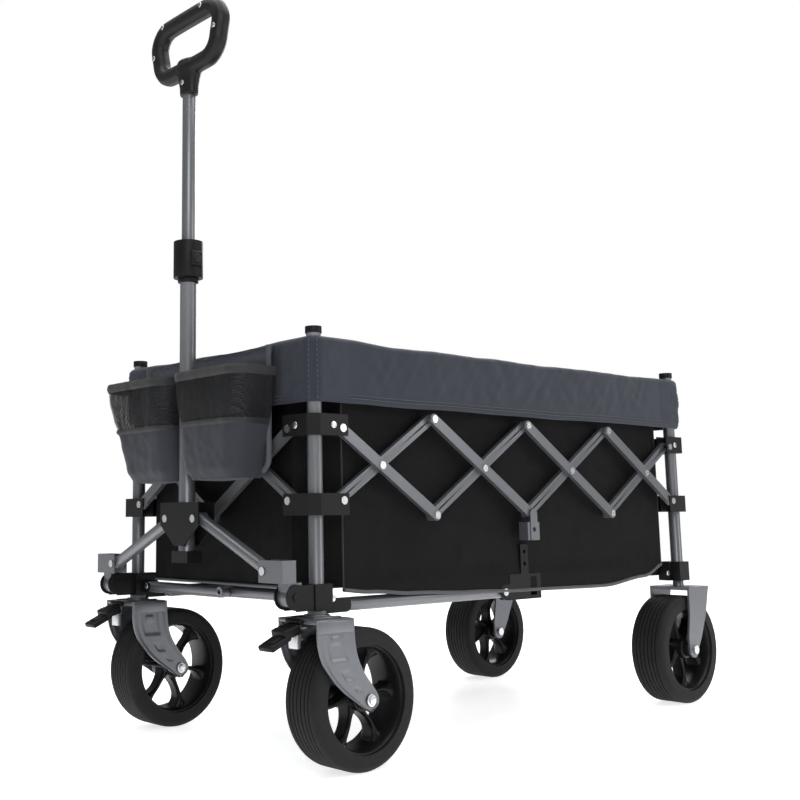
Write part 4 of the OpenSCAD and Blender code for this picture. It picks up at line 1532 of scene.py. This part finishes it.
@dataclass
class Forks:
    """Pressed-steel forks: curved legs with rolled edges, a ribbed crown and a stem; and the brake pedals."""

    layout: Layout
    looks: Finishes
    top: float = 216.0
    gap: float = 38.5
    thick: float = 3.6

    def leg_edges(self, drop: float, trail: float) -> tuple[float, float]:
        """Front and rear edge of a leg, behind the stem, at a drop from 0 (crown) to 1 (foot)."""
        lean = trail / FORK_TRAIL
        front = along_curve(((0.0, -37.0), (0.26, -34.5), (0.44, -27.0), (0.59, -13.0), (0.72, 4.0), (0.82, 22.0),
                             (0.9, 38.0), (0.96, 51.0), (1.0, 63.0)), drop)
        rear = along_curve(((0.0, 33.0), (0.26, 35.0), (0.44, 41.0), (0.59, 52.0), (0.72, 66.0), (0.82, 76.0),
                            (0.9, 79.0), (0.96, 75.0), (1.0, 65.0)), drop)
        shift = (FORK_TRAIL - trail) * ease(drop, 0.1, 0.9)
        return front - shift * lean ** 0.2, rear - shift * lean ** 0.2

    def emboss(self, across: float, drop: float) -> float:
        """Depth of the pressed pattern: a long panel, two short dashes and a rolled rim."""
        rim = 1.5 * ease(abs(across), 0.72, 0.9)
        panel = ease(0.5 - abs(across), 0.0, 0.12) * ease(drop, 0.1, 0.15) * (1 - ease(drop, 0.4, 0.45))
        slot = ease(0.26 - abs(across), 0.0, 0.1) * ease(drop, 0.17, 0.2) * (1 - ease(drop, 0.25, 0.28))
        dash = ease(0.28 - abs(across), 0.0, 0.1) * ease(drop, 0.54, 0.57) * (1 - ease(drop, 0.63, 0.66))
        dot = ease(0.24 - math.hypot(across, (drop - 0.76) * 7), 0.0, 0.12)
        return rim - 1.5 * panel + 1.2 * slot - 1.2 * dash - 0.9 * dot

    def leg(self, trail: float, out: float) -> bpy.types.Object:
        """One leg: a sheet drawn to its outline, pressed with its pattern and given its thickness."""
        Bench.clear()
        bpy.ops.mesh.primitive_grid_add(x_subdivisions=30, y_subdivisions=72, size=1)
        piece = Bench.take("leg")
        sign = 1 if out > 0 else -1
        for vertex in piece.data.vertices:
            across, drop = vertex.co.x * 2, 0.5 - vertex.co.y
            front, rear = self.leg_edges(drop, trail)
            x = (front + rear) / 2 + (rear - front) / 2 * across
            y = out + sign * (self.thick - 1.5 + self.emboss(across, drop))
            vertex.co = Vector((x * MM, y * MM, (self.top - (self.top - 85.2) * drop) * MM))
        wall = piece.modifiers.new("thickness", "SOLIDIFY")
        wall.thickness = 2.6 * MM
        wall.offset = -1.0
        Bench.only(piece)
        bpy.ops.object.mode_set(mode="EDIT")
        bpy.ops.mesh.select_all(action="SELECT")
        if piece.data.polygons[0].normal.y * sign < 0:
            bpy.ops.mesh.flip_normals()
        bpy.ops.object.mode_set(mode="OBJECT")
        bpy.ops.object.modifier_apply(modifier=wall.name)
        Bench.smooth(piece, 50)
        return piece

    def crown(self) -> list[bpy.types.Object]:
        """The crown plate, its shoulders and the stem."""
        parts = [
            Bench.block("crown", (-0.037, -0.0415, 0.2095), (0.033, 0.0415, 0.2165), 0.0028, 3),
            Bench.rod("stem", (0, 0, 0.2155), (0, 0, 0.2266), 0.0135, 0.0012),
            Bench.rod("race", (0, 0, 0.2155), (0, 0, 0.2205), 0.019, 0.0014),
        ]
        for side in (-1, 1):
            parts.append(Bench.block("shoulder", (-0.035, side * 0.040 - 0.003, 0.196),
                                     (0.031, side * 0.040 + 0.003, 0.2155), 0.0028, 3))
            parts.append(Bench.block("rib", (-0.028, side * 0.022 - 0.004, 0.2155),
                                     (0.024, side * 0.022 + 0.004, 0.2185), 0.0014, 2))
        return parts

    def bolt(self, trail: float) -> bpy.types.Object:
        """The axle bolt with a flanged hexagon head and a lock nut."""
        parts = [Bench.rod("axle", (trail * MM, -0.042, 0.1), (trail * MM, 0.042, 0.1), 0.0049)]
        for side in (-1, 1):
            parts.append(Bench.rod("flange", (trail * MM, side * 0.0421, 0.1), (trail * MM, side * 0.0436, 0.1),
                                   0.0086, 0.0004))
            parts.append(Bench.rod("hex", (trail * MM, side * 0.0436, 0.1), (trail * MM, side * 0.0468, 0.1),
                                   0.0062, 0.0007, 6))
        return Bench.join("bolt", parts)

    def fork(self, name: str, trail: float, move: Matrix, body: str, replaced: Sequence[str]) -> None:
        """One fork with its bolt, put in its place."""
        parts = [*self.crown(), self.leg(trail, self.gap), self.leg(trail, -self.gap)]
        fork = Bench.join(name, parts)
        Bench.paint(fork, self.looks.fork)
        bolt = Bench.paint(self.bolt(trail), self.looks.steel)
        bolt.name = name + "_bolt"
        for piece in (fork, bolt):
            piece.data.transform(move)
            finish_piece(piece, body, replaced)

    def pedal(self, side: Side) -> None:
        """A brake pedal: hinge barrel, curved tread with ribs and a bright locking tab."""
        lay = self.layout
        half = (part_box(f"{side.word}_brake_pedal")[1].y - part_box(f"{side.word}_brake_pedal")[0].y) / 2 / MM
        parts = [Bench.rod("barrel", (-0.0415, -half * MM, 0.213), (-0.0415, half * MM, 0.213), 0.0042, 0.0006)]
        for low, high, turn in (
            ((-15.0, -half, -7.0), (15.0, half, 6.5), -16.0),
            ((-19.0, -half, -4.2), (19.0, half, 4.2), -24.0),
            ((-11.0, -half * 0.62, 2.6), (10.0, half * 0.62, 6.0), -24.0),
        ):
            pad = Bench.block("pad", tuple(v * MM for v in low), tuple(v * MM for v in high), 0.0028, 3)
            middle = (-57.0, 0.0, 200.5) if low[0] == -15.0 else (-77.5, 0.0, 186.5)
            tilt = Matrix.Rotation(math.radians(turn), 4, "Y")
            pad.data.transform(Matrix.Translation(Vector(middle) * MM) @ tilt)
            parts.append(pad)
        for rib in range(4):
            x, z = -50.0 - 5.4 * rib, 209.4 - 1.6 * rib
            parts.append(Bench.rod("rib", (x * MM, -half * 0.8 * MM, z * MM), (x * MM, half * 0.8 * MM, z * MM),
                                   0.0012, 0.0003, 12))
        pedal = Bench.paint(Bench.join(f"{side.word}_pedal", parts), self.looks.plastic)
        pedal.data.transform(Matrix.Translation(lay.point(0, side.value * lay.half_w, 0)))
        finish_piece(pedal, f"{side.word}_brake_pedal", [f"{side.word}_brake_pedal"])
        tab = Bench.block(f"{side.word}_brake_tab", (-0.046, -0.009, 0.176), (-0.0375, 0.009, 0.2085), 0.0012, 2)
        tab.data.transform(Matrix.Translation(lay.point(0, side.value * lay.half_w, 0)))
        Bench.paint(tab, self.looks.plate)
        finish_piece(tab, f"front_{side.word}_fork")

    def build(self) -> None:
        """Makes the two front forks and the brake pedals; the rear forks are part of the corner nodes."""
        lay = self.layout
        for side in Side:
            place = Matrix.Translation(lay.point(0, side.value * lay.half_w, 0))
            name = f"front_{side.word}_fork"
            self.fork(name + "_pressing", FORK_TRAIL, place, name, [name])
            self.pedal(side)


# ---------------------------------------------------------------- handle


@dataclass
class Handle:
    """The telescopic handle: linkage bracket, tubes, collar with its button, and the loop grip."""

    layout: Layout
    looks: Finishes
    x: float = -61.0
    loop_low: float = 1085.0
    loop_high: float = 1204.0
    bar: float = 15.4

    def at(self, out: float, y: float, z: float) -> Point:
        """A place by its distance from the tube's axis."""
        return self.layout.point(self.x + out, y, z)

    def loop(self) -> bpy.types.Object:
        """The grip's closed loop, wider at the top, swept round rounded corners."""
        half_top, half_low = 89.0, 83.0
        low, high = self.loop_low + self.bar, self.loop_high - self.bar
        radius = 34.0
        corners = [(half_top, high, 0), (-half_top, high, 90), (-half_low, low, 180), (half_low, low, 270)]
        points: list[Point] = []
        for y, z, start in corners:
            cy = y - math.copysign(radius, y)
            cz = z - math.copysign(radius, z - (low + high) / 2)
            points += [self.at(0, cy + radius * math.cos(math.radians(start + t)),
                               cz + radius * math.sin(math.radians(start + t))) for t in range(0, 91, 15)]
        loop = Bench.cord("handle_loop", points, self.bar * MM, self.looks.grip, closed=True)
        return loop

    def grip(self) -> None:
        """The loop, its socket and its screws."""
        throat = [(20.5, 1112.0), (24.0, 1098.0), (19.0, 1082.0), (16.4, 1066.0), (15.8, 1052.0)]
        parts = [self.loop()]
        for (r0, z0), (r1, z1) in zip(throat, throat[1:]):
            Bench.clear()
            low, high = self.at(0, 0, z1), self.at(0, 0, z0)
            bpy.ops.mesh.primitive_cone_add(vertices=48, radius1=r1 * MM, radius2=r0 * MM, depth=high[2] - low[2],
                                            location=(low[0], low[1], (low[2] + high[2]) / 2))
            piece = Bench.take("throat")
            piece.scale = (0.84, 1.18, 1.0)
            Bench.settle(piece)
            parts.append(piece)
        grip = Bench.join("handle_grip_shells", parts)
        blend = grip.modifiers.new("blend", "REMESH")
        blend.mode = "VOXEL"
        blend.voxel_size = 1.5 * MM
        Bench.only(grip)
        bpy.ops.object.modifier_apply(modifier=blend.name)
        soften = grip.modifiers.new("soften", "SMOOTH")
        soften.iterations = 12
        soften.factor = 0.5
        bpy.ops.object.modifier_apply(modifier=soften.name)
        Bench.smooth(grip, 60)
        Bench.paint(grip, MouldedPlastic("grip_shell", (0.009, 0.009, 0.0096), 0.4, 800.0).make())
        finish_piece(grip, "handle_upper_tube", ["handle_grip"])
        screws = []
        face = -self.bar + 0.4
        for y, z in (
            (-50.0, 1190.0), (61.0, 1190.0), (-87.0, 1142.0), (87.0, 1142.0), (0.0, 1100.0), (0.0, 1072.0),
        ):
            screws.append(self.screw(face, y, z))
        heads = Bench.paint(Bench.join("grip_screws", screws), self.looks.steel)
        finish_piece(heads, "handle_upper_tube")

    def screw(self, out: float, y: float, z: float) -> bpy.types.Object:
        """A pan-head screw."""
        return Bench.rod("screw", self.at(out - 0.7, y, z), self.at(out + 3.0, y, z), 0.0042, 0.0008, 24)

    def collar(self) -> None:
        """The lower tube's collar and its release button."""
        low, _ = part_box("handle_button")
        mid = (low.z / MM) + 8
        parts = [
            Bench.rod("sleeve", self.at(0, 0, 741), self.at(0, 0, 801), 0.0238, 0.004),
            Bench.rod("upper_ring", self.at(0, 0, 789), self.at(0, 0, 797), 0.02395, 0.0012),
            Bench.rod("skirt", self.at(0, 0, 733), self.at(0, 0, 745), 0.0168, 0.0016),
            Bench.block("button_housing", self.at(-11, -25.6, mid - 13), self.at(11, -14, mid + 13), 0.003, 3),
        ]
        collar = Bench.paint(Bench.join("handle_collar", parts), self.looks.plastic)
        finish_piece(collar, "handle_lower_tube")
        knob = Bench.rod("release_button", self.at(0, -26.9, mid), self.at(0, -18, mid), 0.0078, 0.0014)
        Bench.paint(knob, self.looks.grip)
        finish_piece(knob, "handle_button", ["handle_button"])

    def lower_zones(self) -> None:
        """Dresses the lower tube's node: painted tube, plastic bracket and socket, bright rivets."""
        frame_dress = MetalFrame(self.layout, self.looks).dress

        def tube(spot: Vector, normal: Vector) -> bool:
            return math.hypot(spot.x - self.x, spot.y) < 13.2 and 306 < spot.z < 742

        def rivet(spot: Vector, normal: Vector) -> bool:
            return abs(spot.x - self.x) > 15.52 and 340 < spot.z < 372

        frame_dress("handle_lower_tube", self.looks.plastic, [(self.looks.tube, tube), (self.looks.steel, rivet)])
        frame_dress("handle_upper_tube", self.looks.tube, [])

    def build(self) -> None:
        """Makes the handle."""
        self.grip()
        self.collar()
        self.lower_zones()


# ---------------------------------------------------------------- studio


@dataclass
class Studio:
    """A pale floor, soft lamps and the camera."""

    layout: Layout
    eye: Point = (-1073.2, -1459.7, 360.6)
    yaw: float = 40.11
    pitch: float = 8.97
    roll: float = -0.53
    lens: float = 50.06
    shift: tuple[float, float] = (0.136, -0.076)

    def camera(self) -> None:
        """The view from the front left, low down."""
        data = bpy.data.cameras.new("camera")
        data.lens = self.lens
        data.sensor_width = 36.0
        data.shift_x, data.shift_y = self.shift
        data.clip_end = 100.0
        eye = bpy.data.objects.new("camera", data)
        bpy.context.scene.collection.objects.link(eye)
        yaw, pitch, roll = (math.radians(a) for a in (self.yaw, self.pitch, self.roll))
        ahead = Vector((math.sin(yaw) * math.cos(pitch), math.cos(yaw) * math.cos(pitch), math.sin(pitch)))
        right = Vector((math.cos(yaw), -math.sin(yaw), 0.0))
        up = right.cross(ahead)
        right_rolled = right * math.cos(roll) + up * math.sin(roll)
        up_rolled = right_rolled.cross(ahead)
        turn = Matrix((right_rolled, up_rolled, -ahead)).transposed().to_4x4()
        eye.matrix_world = Matrix.Translation(self.layout.point(*self.eye)) @ turn
        bpy.context.scene.camera = eye

    def lamp(self, name: str, place: Point, target: Point, power: float, size: float) -> None:
        """One soft rectangular lamp aimed at a point."""
        data = bpy.data.lights.new(name, "AREA")
        data.energy = power
        data.size = size
        lamp = bpy.data.objects.new(name, data)
        way = Vector(target) - Vector(place)
        lamp.matrix_world = Matrix.Translation(place) @ way.to_track_quat("-Z", "Y").to_matrix().to_4x4()
        bpy.context.scene.collection.objects.link(lamp)

    def floor(self) -> None:
        """The pale ground."""
        Bench.clear()
        bpy.ops.mesh.primitive_plane_add(size=60, location=(0, 0, -0.0005))
        ground = Bench.take("studio_floor")
        Bench.settle(ground)
        shader = Shader("studio_floor")
        shader.set(Base_Color=(0.9, 0.9, 0.905, 1.0), Roughness=0.24,
                   Emission_Color=(1.0, 1.0, 1.0, 1.0), Emission_Strength=0.73)
        Bench.paint(ground, shader.material)

    def world(self) -> None:
        """A white surround."""
        world = bpy.data.worlds.new("studio")
        world.use_nodes = True
        tree = world.node_tree
        seen = tree.nodes["Background"]
        seen.inputs["Color"].default_value = (1.0, 1.0, 1.0, 1.0)
        seen.inputs["Strength"].default_value = 1.0
        fill = tree.nodes.new("ShaderNodeBackground")
        fill.inputs["Color"].default_value = (0.94, 0.97, 1.0, 1.0)
        fill.inputs["Strength"].default_value = 0.3
        pick, path = tree.nodes.new("ShaderNodeMixShader"), tree.nodes.new("ShaderNodeLightPath")
        tree.links.new(path.outputs["Is Camera Ray"], pick.inputs["Fac"])
        tree.links.new(fill.outputs["Background"], pick.inputs[1])
        tree.links.new(seen.outputs["Background"], pick.inputs[2])
        tree.links.new(pick.outputs["Shader"], tree.nodes["World Output"].inputs["Surface"])
        bpy.context.scene.world = world
        bpy.context.scene.view_settings.view_transform = "Standard"

    def build(self) -> None:
        """Sets up the studio."""
        self.camera()
        self.floor()
        self.world()
        self.lamp("top", (0.2, -0.2, 3.4), (0.2, -0.2, 0), 215, 4.4)
        self.lamp("key", (-2.2, -2.4, 1.9), (0, 0, 0.4), 34, 1.3)
        self.lamp("rim", (2.2, 1.4, 1.8), (0, 0, 0.5), 30, 1.2)
        self.lamp("side", (1.8, -2.6, 1.2), (0.2, -0.2, 0.3), 20, 1.0)


def main() -> None:
    """Builds the wagon's looks in order."""
    logging.basicConfig(level=logging.INFO, format="%(message)s")
    layout = Layout()
    looks = Finishes()
    Studio(layout).build()
    MetalFrame(layout, looks).build()
    Wheel(layout, looks).build()
    Forks(layout, looks).build()
    Handle(layout, looks).build()
    Organizer(layout, looks).build()
    Basket(layout, looks).build()


if __name__ == "__main__":
    main()
